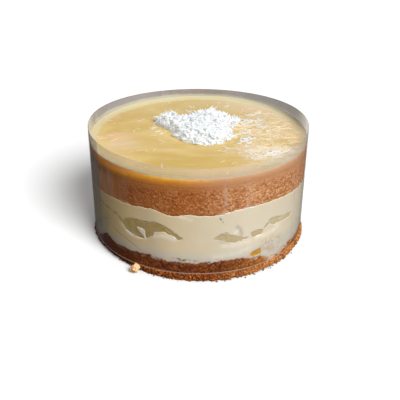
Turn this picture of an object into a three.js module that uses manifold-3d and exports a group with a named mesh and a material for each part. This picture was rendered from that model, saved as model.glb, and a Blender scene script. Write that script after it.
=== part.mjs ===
// A round pineapple cake in its clear film collar. From the bottom up: a sponge base, a thick
// cream filling with pineapple pieces pressed against its side, an upper sponge, a clear yellow
// jelly, and a heap of shredded coconut on the jelly. The collar is one strip of film wound once
// round the cake, with its ends lapped on the left, and it stands 8 mm proud of the jelly.
//
// Millimetres, +Z up. The origin is the centre of the underside, and the front faces -Y.
// An angle round the cake is in degrees from the front towards the right (+X).

import * as THREE from "three";
import { mergeVertices } from "three/addons/utils/BufferGeometryUtils.js";
import Module from "manifold-3d";

const wasm = await Module();
wasm.setup();

// Driving dimensions.
const CAKE_RADIUS = 75.5;
const PIECE_GAP = 0.3; // between two pieces that rest on each other
const DIVISIONS = 72; // steps round the cake
const STEP = 360 / DIVISIONS;
const ANGLE_GRID = 0.001; // degrees that angles are rounded to, so that both seam ends agree
const LAYER_RINGS = [0.55, 0.88, 0.965]; // corners between a layer's axis and side, as shares

const FILM_THICKNESS = 0.25;
const FILM_WIDTH = 76; // the strip stands on edge, so this is its height
const FILM_BOTTOM = 4.6;
const FILM_INNER_END = 258; // angle of the end that lies against the cake
const FILM_LAP = 43; // degrees by which the outer end passes the inner one
const FILM_STEP_OUT = 25; // degrees over which the strip climbs onto its own inner end

const FOOT_HEIGHT = 4.2; // the base's crumbly foot, below the film
const FOOT_FLARE = 1.5; // how far the foot stands out past the film's inside
const FOOT_WIDEST = 0.35; // where in its height the foot is widest, as a share

const CREAM_BOTTOM = 12.6;
const CREAM_TOP = 48;
const SPONGE_TOP = 66.4;
const JELLY_TOP = 72;
const MENISCUS_RISE = 0.9; // how far the jelly climbs the film
const MENISCUS_REACH = 1.6; // how far in from the film it has mostly flattened

const FRUIT_DEPTH = 12; // how far a pineapple piece reaches into the cream
const FRUIT_TAPER = 0.35; // how much smaller a piece is at its inner end, as a share
const FRUIT_STEPS = 20; // corners of an oval pineapple piece's outline
const SLICE_STEPS = 28; // corners of the ring slice's outline
const FRUIT_ROUNDNESS = 0.75; // of an oval's ends: 1 is an ellipse, and less is squarer
const SHARPEST = 0.4; // an outline's corner is blunted past this cosine of half its turn

// The coconut heap: where its middle lies, its usual radius and its height.
const HEAP = { x: 3, y: 4, radius: 26.5, height: 12, divisions: 36 };
// Where the heap's edge reaches out or draws in: [angle, reach, rise]. A tongue runs left.
const HEAP_LOBES = [
  [8, 24, 2.0], [91, 20, -7.5], [128, 17, 7.5], [243, 15, 14.5], [285, 18, -3.5],
  [320, 18, -1.5],
];
const HEAP_RINGS = [0.2, 0.4, 0.6, 0.8];
const HEAP_RIM = 0.12; // height of the heap's edge, as a share of its middle
const HEAP_STEEPNESS = 2.4; // power of the dome's fall towards its edge
// Lumps spiralling out over the heap: [lumps round it, twist in radians, share of the height].
const HEAP_LUMPS = [[4, 9, 0.12], [7, -6, 0.08]];

// Where the layers' edges rise or sag at the side: [angle, reach in degrees, rise].
const CREAM_BOTTOM_WAVES = [
  [-70, 8, -7.0], [-55, 5, 2.6], [-26, 5, 2.2], [-7, 7, -0.8], [15, 8, 0.8], [41, 9, -5.4],
  [54, 14, -2.4], [80, 20, -2.2], [144, 13, 1.9], [186, 18, -2.2], [236, 16, 1.6],
];
const CREAM_TOP_WAVES = [
  [-80, 24, -3.5], [-25, 7, 1.0], [-13, 5, -2.0], [5, 9, -1.0], [30, 16, 1.9], [48, 8, 0.6],
  [74, 12, -1.8], [118, 24, -1.2], [168, 20, 1.0], [214, 22, -1.3],
];
const SPONGE_TOP_WAVES = [
  [-62, 24, -2.6], [30, 24, 1.4], [100, 30, 0.6], [190, 26, -0.7],
];
// How much more or less the base's foot flares than usual, as a share: [angle, reach, change].
// It is tucked in on the left, and spreads widest at the front.
const FOOT_WAVES = [
  [-50, 22, -2.2], [10, 24, 0.7], [62, 12, -0.3],
  [110, 14, 0.2], [150, 12, -0.4], [200, 20, 0.1], [250, 14, -0.3],
];

// The large piece on the left is a slice of a pineapple ring seen edge-on: thick at its left
// end, arched, and thinning to a tail. Its outline is in mm from the piece's middle.
const RING_SLICE = [
  [-20.8, -0.3], [-17.6, 3.2], [-9.0, 5.7], [4.6, 7.1], [11.8, 5.2], [22.0, -2.3],
  [13.0, 0.9], [4.6, 0.4], [1.4, -3.6], [-3.0, -6.7], [-15.5, -4.8],
];

// The pineapple pieces that show at the side. Size is width by height along the side, and
// taper makes the right end thicker (+) or thinner (-).
const FRUIT = [
  { name: "pineapple_ring_slice", angle: -24.5, height: 32.5, outline: RING_SLICE },
  { name: "pineapple_far_left", angle: -59, height: 20.5, size: [20, 8.5], tilt: 38, taper: -0.3 },
  { name: "pineapple_right", angle: 16.5, height: 30.2, size: [23, 6.6], tilt: -5, taper: -0.35 },
  { name: "pineapple_right_small", angle: 29.8, height: 29.4, size: [8.5, 3.6], tilt: -4, taper: 0.1 },
  { name: "pineapple_right_sliver", angle: 46.5, height: 33.6, size: [26, 4.4], tilt: -4, taper: -0.2 },
  { name: "pineapple_yellow_chunk", angle: 30, height: 14.7, size: [8.2, 3.9], tilt: 12, taper: 0.15 },
  { name: "pineapple_back_a", angle: 84, height: 27, size: [24, 8], tilt: -8, taper: 0.3 },
  { name: "pineapple_back_b", angle: 113, height: 34, size: [17, 6], tilt: 7, taper: -0.2 },
  { name: "pineapple_back_c", angle: 141, height: 26.5, size: [28, 9.5], tilt: -4, taper: -0.35 },
  { name: "pineapple_back_d", angle: 174, height: 35, size: [20, 6.5], tilt: 10, taper: 0.2 },
  { name: "pineapple_back_e", angle: 206, height: 27.5, size: [26, 8.5], tilt: 5, taper: 0.35 },
  { name: "pineapple_back_f", angle: 238, height: 33.5, size: [18, 7], tilt: -9, taper: -0.15 },
  { name: "pineapple_back_g", angle: 265, height: 24.5, size: [15, 6], tilt: 14, taper: 0.1 },
];

const COLOURS = {
  base: { color: 0xa4642f, roughness: 0.9 },
  cream: { color: 0xe6dbc2, roughness: 0.5 },
  sponge: { color: 0xb4733f, roughness: 0.85 },
  jelly: { color: 0xdcb868, roughness: 0.12 },
  pineapple: { color: 0xcfbd82, roughness: 0.35 },
  coconut: { color: 0xf6f5f1, roughness: 0.8 },
  film: { color: 0xe8ecec, roughness: 0.06, transparent: true, opacity: 0.25 },
};

const radians = THREE.MathUtils.degToRad;
const lerp = THREE.MathUtils.lerp;

// The point at an angle round the cake, a distance from its axis and a height.
function around(angle, radius, height = 0) {
  const turn = radians(angle);
  return new THREE.Vector3(radius * Math.sin(turn), -radius * Math.cos(turn), height);
}

// The shorter way between two angles, 0 to 180 degrees.
function apart(a, b) {
  return Math.abs(THREE.MathUtils.euclideanModulo(a - b + 180, 360) - 180);
}

// The sum of soft humps and dips at an angle.
function waveSum(waves, angle) {
  const hump = ([at, reach, rise]) => rise * Math.exp(-((apart(angle, at) / reach) ** 2));
  return waves.reduce((sum, wave) => sum + hump(wave), 0);
}

// A layer's face: level inside, and rising and sagging towards the side. share is 0 on the
// axis and 1 at the side.
function wavyFace(level, waves) {
  return (angle, share) => level + waveSum(waves, angle) * share ** 4;
}

const creamBottom = wavyFace(CREAM_BOTTOM, CREAM_BOTTOM_WAVES);
const creamTop = wavyFace(CREAM_TOP, CREAM_TOP_WAVES);
const spongeTop = wavyFace(SPONGE_TOP, SPONGE_TOP_WAVES);

// The jelly's face: flat, with a small climb where it meets the film.
function jellyTop(angle, share) {
  const inFromFilm = (1 - share) * CAKE_RADIUS;
  return JELLY_TOP + MENISCUS_RISE * Math.exp(-inFromFilm / MENISCUS_REACH);
}

const lifted = (face) => (angle, share) => face(angle, share) + PIECE_GAP;

// A closed solid from a geometry, with its shared corners merged and its slivers dropped.
// A geometry that was mirrored has its faces turned back out.
function toSolid(geometry, mirrored = false) {
  const bare = geometry.clone();
  bare.deleteAttribute("normal");
  bare.deleteAttribute("uv");
  const merged = mergeVertices(bare, 1e-4);
  const corners = merged.index.array;
  const kept = [];
  for (let i = 0; i < corners.length; i += 3) {
    const [a, b, c] = corners.slice(i, i + 3);
    const sliver = a === b || b === c || c === a;
    if (!sliver) kept.push(...(mirrored ? [a, c, b] : [a, b, c]));
  }
  return new wasm.Manifold(new wasm.Mesh({
    numProp: 3,
    vertProperties: new Float32Array(merged.attributes.position.array),
    triVerts: new Uint32Array(kept),
  }));
}

// A disc-shaped solid about the Z axis. faceHeight gives its lower face at rise 0 and its
// upper face at rise 1, radiusAt the distance of its side from the axis. Discs that lie on
// each other are swept in turn rightwards (1) and leftwards (-1), because the diagonals of
// their touching faces then run the same way and the gap between them stays even.
function discSolid({ rings, sideRises, faceHeight, radiusAt, sweep = 1, divisions = DIVISIONS }) {
  const lower = [0, ...rings].map((share) => new THREE.Vector2(share, 0));
  const side = sideRises.map((rise) => new THREE.Vector2(1, rise));
  const upper = [...rings].reverse().map((share) => new THREE.Vector2(share, 1));
  const profile = [...lower, ...side, ...upper, new THREE.Vector2(0, 1)];
  const geometry = new THREE.LatheGeometry(profile, divisions);
  const position = geometry.attributes.position;
  for (let i = 0; i < position.count; i += 1) {
    const share = Math.hypot(position.getX(i), position.getZ(i));
    const onAxis = share < 1e-6;
    const turn = onAxis ? 0 : Math.atan2(position.getX(i), position.getZ(i));
    const angle = sweep * Math.round(THREE.MathUtils.radToDeg(turn) / ANGLE_GRID) * ANGLE_GRID;
    const height = faceHeight(position.getY(i), angle, share);
    const radius = onAxis ? 0 : share * radiusAt(angle, height);
    const point = around(angle, radius, height);
    position.setXYZ(i, point.x, point.y, point.z);
  }
  return toSolid(geometry, sweep < 0);
}

// A cake layer between two faces, with an upright side.
function layerSolid(bottom, top, rings, sweep) {
  return discSolid({
    rings,
    sweep,
    sideRises: [0, 1],
    faceHeight: (rise, angle, share) => lerp(bottom(angle, share), top(angle, share), rise),
    radiusAt: () => CAKE_RADIUS,
  });
}

// The base: flat underneath, upright inside the film, and flaring into an uneven foot below it.
function baseSolid() {
  const footShare = 0.5; // the part of the side's rise that is foot
  const flareAt = (angle, height) => {
    const fromWidest = (height / FOOT_HEIGHT - FOOT_WIDEST) / (1 - FOOT_WIDEST);
    const bulge = 1 - fromWidest ** 2;
    return FOOT_FLARE * (1 + waveSum(FOOT_WAVES, angle)) * Math.max(0, bulge);
  };
  return discSolid({
    rings: LAYER_RINGS,
    sideRises: [0, FOOT_WIDEST, 0.84, 1].map((rise) => rise * footShare).concat(1),
    faceHeight: (rise, angle, share) => {
      if (rise <= footShare) return FOOT_HEIGHT * (rise / footShare);
      return lerp(FOOT_HEIGHT, creamBottom(angle, share), (rise - footShare) / (1 - footShare));
    },
    radiusAt: (angle, height) => CAKE_RADIUS + flareAt(angle, height),
  });
}

// A pineapple piece's outline in mm from its middle: a tilted, tapered, squarish oval.
function ovalOutline({ size: [width, height], tilt, taper }) {
  const squared = (value) => Math.sign(value) * Math.abs(value) ** FRUIT_ROUNDNESS;
  const points = [];
  for (let i = 0; i < FRUIT_STEPS; i += 1) {
    const turn = (i / FRUIT_STEPS) * 2 * Math.PI;
    const x = squared(Math.cos(turn)) * width / 2;
    const y = squared(Math.sin(turn)) * height / 2 * (1 + taper * Math.cos(turn));
    points.push(new THREE.Vector2(x, y).rotateAround(new THREE.Vector2(), radians(tilt)));
  }
  return points;
}

// A closed smooth curve through an outline's points, counter-clockwise.
function smoothOutline(points) {
  const corners = points.map(([x, y]) => new THREE.Vector3(x, y, 0));
  const curve = new THREE.CatmullRomCurve3(corners, true, "centripetal");
  const spaced = curve.getSpacedPoints(SLICE_STEPS).slice(0, -1);
  const outline = spaced.map(({ x, y }) => new THREE.Vector2(x, y));
  return THREE.ShapeUtils.isClockWise(outline) ? outline.reverse() : outline;
}

// An outline with its edges moved outwards by a distance, and its sharpest corners blunted.
function grownOutline(outline, distance) {
  const outwardOf = (from, to) => {
    const along = to.clone().sub(from).normalize();
    return new THREE.Vector2(along.y, -along.x);
  };
  return outline.map((point, i) => {
    const before = outwardOf(outline.at(i - 1), point);
    const after = outwardOf(point, outline[(i + 1) % outline.length]);
    const middle = before.clone().add(after).normalize();
    const reach = distance / Math.max(SHARPEST, middle.dot(before));
    return point.clone().addScaledVector(middle, reach);
  });
}

// A wedge of an outline that lies on the cake's side, narrowing in towards the axis.
function sideWedge({ angle, height }, outline, depth) {
  const pastSide = 4; // mm that the wedge starts outside the cake, to be cut off flush
  const shape = new THREE.Shape(outline);
  const geometry = new THREE.ExtrudeGeometry(shape, { depth: depth + pastSide, bevelEnabled: false });
  const position = geometry.attributes.position;
  for (let i = 0; i < position.count; i += 1) {
    const narrowing = 1 - FRUIT_TAPER * (1 - position.getZ(i) / depth);
    position.setX(i, position.getX(i) * narrowing);
    position.setY(i, position.getY(i) * narrowing);
  }
  const outward = around(angle, 1);
  const along = around(angle + 90, 1);
  const frame = new THREE.Matrix4().makeBasis(along, new THREE.Vector3(0, 0, 1), outward);
  frame.setPosition(around(angle, CAKE_RADIUS - depth, height));
  return toSolid(geometry.applyMatrix4(frame));
}

// The cream with a pocket for each pineapple piece, and the pieces, cut flush with its side.
function creamAndFruit() {
  const whole = layerSolid(lifted(creamBottom), creamTop, LAYER_RINGS, -1);
  const pieces = FRUIT.map((fruit) => {
    const outline = fruit.outline ? smoothOutline(fruit.outline) : ovalOutline(fruit);
    return { fruit, outline, solid: whole.intersect(sideWedge(fruit, outline, FRUIT_DEPTH)) };
  });
  const cream = pieces.reduce((solid, { fruit, outline }) => {
    const pocket = grownOutline(outline, PIECE_GAP);
    return solid.subtract(sideWedge(fruit, pocket, FRUIT_DEPTH + PIECE_GAP));
  }, whole);
  return { cream, pieces };
}

// The collar: one strip on edge, wound once round the cake and lapped over its own inner end.
function filmGeometry() {
  const innerFace = CAKE_RADIUS + PIECE_GAP;
  const lapRise = FILM_THICKNESS + PIECE_GAP;
  const turns = 360 + FILM_LAP;
  const radiusAt = (swept) => {
    const climbed = THREE.MathUtils.smoothstep(swept, 360 - FILM_STEP_OUT, 360);
    return innerFace + lapRise * climbed;
  };
  const sweeps = [];
  for (let swept = 0; swept < turns; swept += STEP) sweeps.push(swept);
  sweeps.push(turns);
  const facePoint = (swept, offset) => {
    const { x, y } = around(FILM_INNER_END + swept, radiusAt(swept) + offset);
    return new THREE.Vector2(x, y);
  };
  const inside = sweeps.map((swept) => facePoint(swept, 0));
  const outside = sweeps.map((swept) => facePoint(swept, FILM_THICKNESS));
  const strip = new THREE.Shape([...outside, ...inside.reverse()]);
  const geometry = new THREE.ExtrudeGeometry(strip, { depth: FILM_WIDTH, bevelEnabled: false });
  return geometry.translate(0, 0, FILM_BOTTOM);
}

// The coconut heap: an uneven dome with a lobed edge, flat where it lies on the jelly.
function heapSolid() {
  const lumpsAt = (angle, share) => {
    const swell = ([count, twist, size]) => size * Math.sin(count * radians(angle) + twist * share);
    const sum = HEAP_LUMPS.reduce((total, lump) => total + swell(lump), 0);
    return 1 + sum * THREE.MathUtils.smoothstep(share, HEAP_RINGS[0] / 2, HEAP_RINGS[2]);
  };
  const domeAt = (angle, share) => {
    const dome = (1 - share ** HEAP_STEEPNESS) * lumpsAt(angle, share);
    return HEAP.height * lerp(HEAP_RIM, 1, dome);
  };
  const dome = discSolid({
    rings: HEAP_RINGS,
    sideRises: [0, 1],
    faceHeight: (rise, angle, share) => rise * domeAt(angle, share),
    radiusAt: (angle) => HEAP.radius + waveSum(HEAP_LOBES, angle),
    divisions: HEAP.divisions,
  });
  return dome.translate(HEAP.x, HEAP.y, JELLY_TOP + PIECE_GAP);
}

// A named mesh of a solid.
function solidMesh(name, solid, look) {
  const { numProp, vertProperties, triVerts } = solid.getMesh();
  if (numProp !== 3) throw new Error(`${name}: a solid's corners hold only their places`);
  const geometry = new THREE.BufferGeometry();
  geometry.setAttribute("position", new THREE.BufferAttribute(new Float32Array(vertProperties), 3));
  geometry.setIndex(new THREE.BufferAttribute(new Uint32Array(triVerts), 1));
  geometry.computeVertexNormals();
  const mesh = new THREE.Mesh(geometry, new THREE.MeshStandardMaterial({ metalness: 0, ...look }));
  mesh.name = name;
  return mesh;
}

const cake = new THREE.Group();
cake.name = "pineapple_cake";

const upperSponge = layerSolid(lifted(creamTop), spongeTop, LAYER_RINGS, 1);
const jelly = layerSolid(lifted(spongeTop), jellyTop, LAYER_RINGS, -1);
const { cream, pieces } = creamAndFruit();

cake.add(
  solidMesh("base_sponge", baseSolid(), COLOURS.base),
  solidMesh("cream_filling", cream, COLOURS.cream),
  ...pieces.map(({ fruit, solid }) => solidMesh(fruit.name, solid, COLOURS.pineapple)),
  solidMesh("upper_sponge", upperSponge, COLOURS.sponge),
  solidMesh("jelly_top", jelly, COLOURS.jelly),
  solidMesh("coconut_heap", heapSolid(), COLOURS.coconut),
  solidMesh("film_collar", toSolid(filmGeometry()), COLOURS.film),
);

export default cake;
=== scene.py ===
"""A round pineapple cake in its clear film collar, dressed over its CAD frame.

Lengths inside the classes are millimetres, and turn into metres where a mesh is made. An angle
round the cake is in degrees from the front (-Y) towards the right (+X).
"""

import logging
import math
from collections.abc import Callable
from dataclasses import dataclass
from enum import Enum
from typing import ClassVar

import bmesh
import bpy
import numpy as np
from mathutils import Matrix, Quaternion, Vector


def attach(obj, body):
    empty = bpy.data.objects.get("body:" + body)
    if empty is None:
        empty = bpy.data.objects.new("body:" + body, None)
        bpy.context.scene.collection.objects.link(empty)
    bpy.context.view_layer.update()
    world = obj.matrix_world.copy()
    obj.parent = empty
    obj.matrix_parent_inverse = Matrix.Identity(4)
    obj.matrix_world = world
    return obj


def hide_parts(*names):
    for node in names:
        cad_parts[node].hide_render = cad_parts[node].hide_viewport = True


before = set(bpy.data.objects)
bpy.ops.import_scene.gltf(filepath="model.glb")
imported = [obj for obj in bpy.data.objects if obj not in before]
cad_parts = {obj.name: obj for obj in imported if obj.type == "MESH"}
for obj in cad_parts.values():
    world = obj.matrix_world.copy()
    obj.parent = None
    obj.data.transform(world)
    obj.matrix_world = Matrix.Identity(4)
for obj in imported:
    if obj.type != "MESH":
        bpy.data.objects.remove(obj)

log = logging.getLogger("pineapple_cake")

MM = 0.001
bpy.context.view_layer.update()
BODY = "root"

Array = np.ndarray
Piece = bpy.types.Object
Material = bpy.types.Material
Socket = bpy.types.NodeSocket
Triple = tuple[float, float, float]
Colour = Triple
Stops = tuple[tuple[float, Colour], ...]
Waves = tuple[Triple, ...]
Rings = tuple[Array, Array]
Marks = tuple[Array | float, Array | float, Array | float]

CAKE_RADIUS = 75.5
PRESSED_RADIUS = 75.65  # where the layers press against the film
CREAM_BOTTOM = 12.6
CREAM_TOP = 48.0
SPONGE_TOP = 66.4
JELLY_TOP = 72.0
LAYER_GAP = 0.3  # between the hidden faces of two layers
FOOT_HEIGHT = 4.2
FILM_BOTTOM = 4.6
FILM_WIDTH = 76.0

CREAM_BOTTOM_WAVES: Waves = (
    (-70, 8, -7.0), (-55, 5, 2.6), (-26, 5, 2.2), (-7, 7, -0.8), (15, 8, 0.8), (41, 9, -5.4),
    (54, 14, -2.4), (80, 20, -2.2), (144, 13, 1.9), (186, 18, -2.2), (236, 16, 1.6),
)
CREAM_TOP_WAVES: Waves = (
    (-80, 24, -3.5), (-25, 7, 1.0), (-13, 5, -2.0), (5, 9, -1.0), (30, 16, 1.9), (48, 8, 0.6),
    (74, 12, -1.8), (118, 24, -1.2), (168, 20, 1.0), (214, 22, -1.3),
)
SPONGE_TOP_WAVES: Waves = ((-62, 24, -2.6), (30, 24, 1.4), (100, 30, 0.6), (190, 26, -0.7))
FOOT_WAVES: Waves = (
    (-50, 22, -2.2), (10, 24, 0.7), (62, 12, -0.3),
    (110, 14, 0.2), (150, 12, -0.4), (200, 20, 0.1), (250, 14, -0.3),
)


# ---- shapes in numbers


def apart(a: Array | float, b: Array | float) -> Array:
    """Return the signed shorter way from angle b to angle a, in degrees."""
    return (np.asarray(a) - b + 180) % 360 - 180


def wave_sum(waves: Waves, angles: Array) -> Array:
    """Add up soft humps and dips round the cake.

    Args:
        waves: each hump's angle, reach in degrees and rise.
        angles: where the sum is wanted.

    Returns:
        The summed rise at each angle.
    """
    return sum(rise * np.exp(-((apart(angles, at) / reach) ** 2)) for at, reach, rise in waves)


def smooth_step(value: Array, start: float, end: float) -> Array:
    """Return 0 before start, 1 past end, and a soft rise between them."""
    share = np.clip((value - start) / (end - start), 0, 1)
    return share * share * (3 - 2 * share)


def around(angles: Array, radius: Array, height: Array) -> Array:
    """Return points from angles round the cake, distances from its axis and heights.

    Args:
        angles: the angles round the cake.
        radius: distances from the cake's axis.
        height: heights.

    Returns:
        The points, in the last axis.
    """
    turn = np.radians(angles)
    across = radius * np.sin(turn)
    return np.stack(np.broadcast_arrays(across, -radius * np.cos(turn), height), axis=-1)


def linear(red: float, green: float, blue: float) -> Colour:
    """Return a display colour of 0 to 255 as linear light.

    Args:
        red: 0 to 255.
        green: 0 to 255.
        blue: 0 to 255.

    Returns:
        The three shares of linear light.
    """
    return tuple(
        v / 12.92 if v <= 0.04045 else ((v + 0.055) / 1.055) ** 2.4
        for v in (red / 255, green / 255, blue / 255)
    )


@dataclass(frozen=True)
class Mound:
    """A soft patch on the cake's top: its middle, its reach along X and Y, and its rise."""

    x: float
    y: float
    wide: float
    deep: float
    rise: float = 1.0

    def at(self, x: Array, y: Array) -> Array:
        """Return its height, or how strong it is, at places on the top."""
        reach = -((x - self.x) / self.wide) ** 2 - ((y - self.y) / self.deep) ** 2
        return np.exp(reach) * self.rise


def stops(*rows: tuple[float, float, float, float]) -> Stops:
    """Return a ramp's stops from rows of a place and a display colour."""
    return tuple((place, linear(*colour)) for place, *colour in rows)


class Grain:
    """Smooth random values in space, which repeat exactly for the same seed."""

    def __init__(self, seed: int) -> None:
        """Draw the lattice's order and slopes.

        Args:
            seed: of the draw.
        """
        draw = np.random.default_rng(seed)
        self.order = np.tile(draw.permutation(256), 2)
        slopes = draw.normal(size=(256, 3))
        self.slopes = slopes / np.linalg.norm(slopes, axis=1, keepdims=True)
        self.spots = draw.random((256, 3))

    def _pick(self, cell: Array) -> Array:
        """Return a fixed random index for each lattice cell."""
        x, y, z = np.moveaxis(cell & 255, -1, 0)
        return self.order[self.order[self.order[x] + y] + z]

    def _single(self, at: Array) -> Array:
        """Return one octave, in about -1 to 1.

        Args:
            at: places in lattice steps.

        Returns:
            A value for each place.
        """
        cell = np.floor(at).astype(np.int64)
        inside = at - cell
        ease = inside**3 * (inside * (inside * 6 - 15) + 10)
        total = np.zeros(at.shape[:-1])
        for corner in np.ndindex(2, 2, 2):
            offset = np.array(corner)
            rise = ((inside - offset) * self.slopes[self._pick(cell + offset)]).sum(-1)
            total += rise * np.where(offset, ease, 1 - ease).prod(-1)
        return total * 1.7

    def layered(self, points: Array, size: float, octaves: int = 1) -> Array:
        """Sum octaves of smooth noise.

        Args:
            points: places in mm, in the last axis.
            size: the coarsest octave's lattice step in mm.
            octaves: how many, each half as large and half as strong as the last.

        Returns:
            Values of about -1 to 1.
        """
        return sum(self._single(points / size * 2**i + 17.3 * i) / 2**i for i in range(octaves))

    def lumps(self, points: Array, size: float) -> Array:
        """Return each point's distance to the nearest random spot, as a share of size.

        Args:
            points: places in mm, in the last axis.
            size: the spots' spacing in mm.

        Returns:
            A distance for each place.
        """
        at = points / size
        cell = np.floor(at).astype(np.int64)
        nearest = np.full(at.shape[:-1], 9.0)
        for step in np.ndindex(3, 3, 3):
            near = cell + np.array(step) - 1
            gap = near + self.spots[self._pick(near)] - at
            nearest = np.minimum(nearest, (gap * gap).sum(-1))
        return np.sqrt(nearest)


def add_object(name: str, data: bpy.types.ID) -> Piece:
    """Link a new object that shows the data."""
    made = bpy.data.objects.new(name, data)
    bpy.context.scene.collection.objects.link(made)
    return made


def write_mark(mesh: bpy.types.Mesh, label: str, values: Array) -> None:
    """Write one value for each of a mesh's points, which the finishes read as an attribute."""
    layer = mesh.attributes.new(label, "FLOAT", "POINT")
    layer.data.foreach_set("value", np.asarray(values, np.float32).ravel())


def mesh_object(
    name: str, points: Array, faces: list, marks: dict[str, Array] | None = None,
    material: Material | None = None,
) -> Piece:
    """Make a smooth-shaded object at the origin from points in mm.

    Args:
        name: the object's name.
        points: an array of N by 3.
        faces: each face's point indices.
        marks: values for each point, which the finishes read as attributes.
        material: its finish.

    Returns:
        The linked object.
    """
    mesh = bpy.data.meshes.new(name)
    mesh.from_pydata((np.asarray(points) * MM).tolist(), [], faces)
    for label, values in (marks or {}).items():
        write_mark(mesh, label, values)
    mesh.shade_smooth()
    if material:
        mesh.materials.append(material)
    return add_object(name, mesh)


def lathe_object(
    name: str, angles: Array, radius: Array, height: Array,
    marks: dict[str, Array], material: Material,
) -> Piece:
    """Close rings round the cake's axis into a skin, from its lower middle to its upper middle.

    Args:
        name: the object's name.
        angles: the columns' angles.
        radius: distances from the axis, rings by columns.
        height: heights, rings by columns.
        marks: attributes, rings by columns.
        material: its finish.

    Returns:
        The object, with its faces outwards.
    """
    rows, columns = radius.shape
    rings = around(angles, radius, height).reshape(-1, 3)
    poles = np.array([[0, 0, height[0].mean()], [0, 0, height[-1].mean()]])
    here = np.arange(columns)
    after = np.roll(here, -1)
    start = (np.arange(rows - 1) * columns)[:, None]
    quads = np.stack(
        [start + here, start + after, start + columns + after, start + columns + here], axis=-1
    ).reshape(-1, 4)
    low, high = rows * columns, rows * columns + 1
    last = (rows - 1) * columns
    fans = [(low, int(b), int(a)) for a, b in zip(here, after)]
    fans += [(int(last + a), int(last + b), high) for a, b in zip(here, after)]
    spread = {
        label: np.append(np.broadcast_to(values, radius.shape).ravel(), [0, 0])
        for label, values in marks.items()
    }
    made = mesh_object(name, np.vstack([rings, poles]), quads.tolist() + fans, spread, material)
    made.data.set_sharp_from_angle(angle=math.radians(75))
    return made


def flat_grid(half: float, count: int, height: float) -> tuple[Array, list]:
    """Return a level square grid's points and faces.

    Args:
        half: half its width in mm.
        count: the points along each side.
        height: its height in mm.

    Returns:
        The points, row by row, and each face's point indices.
    """
    steps = np.linspace(-half, half, count)
    x, y = np.meshgrid(steps, steps)
    faces = [(i * count + j, i * count + j + 1, (i + 1) * count + j + 1, (i + 1) * count + j)
             for i in range(count - 1) for j in range(count - 1)]
    return np.column_stack([x.ravel(), y.ravel(), np.full(x.size, height)]), faces


def stack(*rows: Array | float, columns: int) -> Array:
    """Stack rows, or blocks of rows, of one number or one per column, into one array."""
    blocks = [np.atleast_2d(np.asarray(row, float)) for row in rows]
    return np.vstack([np.broadcast_to(b, (b.shape[0], columns)) for b in blocks])


# ---- nodes as Python


def _operator(operation: str, swapped: bool = False) -> Callable[..., "Value"]:
    """Make a method that adds a Math node, its terms swapped for a reflected form.

    Args:
        operation: the Math node's operation.
        swapped: whether the other term comes first.

    Returns:
        The method.
    """
    def method(self: "Value", other: "Value | float") -> "Value":
        """Return the Math node's result."""
        terms = (other, self) if swapped else (self, other)
        return self._maths(operation, *terms)

    return method


@dataclass(frozen=True)
class Value:
    """A socket whose number varies, so that shader and shape maths read as Python."""

    recipe: "Recipe"
    socket: Socket

    def _maths(self, operation: str, *terms: "Value | float") -> "Value":
        """Return a Math node's result for the terms."""
        return self.recipe.value("ShaderNodeMath", {"operation": operation}, dict(enumerate(terms)))

    __add__, __radd__ = _operator("ADD"), _operator("ADD", swapped=True)
    __sub__, __rsub__ = _operator("SUBTRACT"), _operator("SUBTRACT", swapped=True)
    __mul__, __rmul__ = _operator("MULTIPLY"), _operator("MULTIPLY", swapped=True)
    __truediv__, __rtruediv__ = _operator("DIVIDE"), _operator("DIVIDE", swapped=True)
    __pow__ = _operator("POWER")
    least, most = _operator("MINIMUM"), _operator("MAXIMUM")

    def __neg__(self) -> "Value":
        """Turn the sign."""
        return self._maths("MULTIPLY", self, -1.0)

    def __abs__(self) -> "Value":
        """Drop the sign."""
        return self._maths("ABSOLUTE", self)

    def sine(self) -> "Value":
        """Return the sine of an angle in radians."""
        return self._maths("SINE", self)

    def cosine(self) -> "Value":
        """Return the cosine of an angle in radians."""
        return self._maths("COSINE", self)

    def rise(self, start: float, end: float) -> "Value":
        """Return a soft step from 0 at start to 1 at end.

        Args:
            start: where the step begins.
            end: where it is done, which may lie below start.

        Returns:
            The step, 0 to 1.
        """
        falling = start > end
        low, high = (end, start) if falling else (start, end)
        made = self.recipe.value(
            "ShaderNodeMapRange", {"interpolation_type": "SMOOTHSTEP"},
            {"Value": self, "From Min": low, "From Max": high},
        )
        return 1 - made if falling else made


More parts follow.
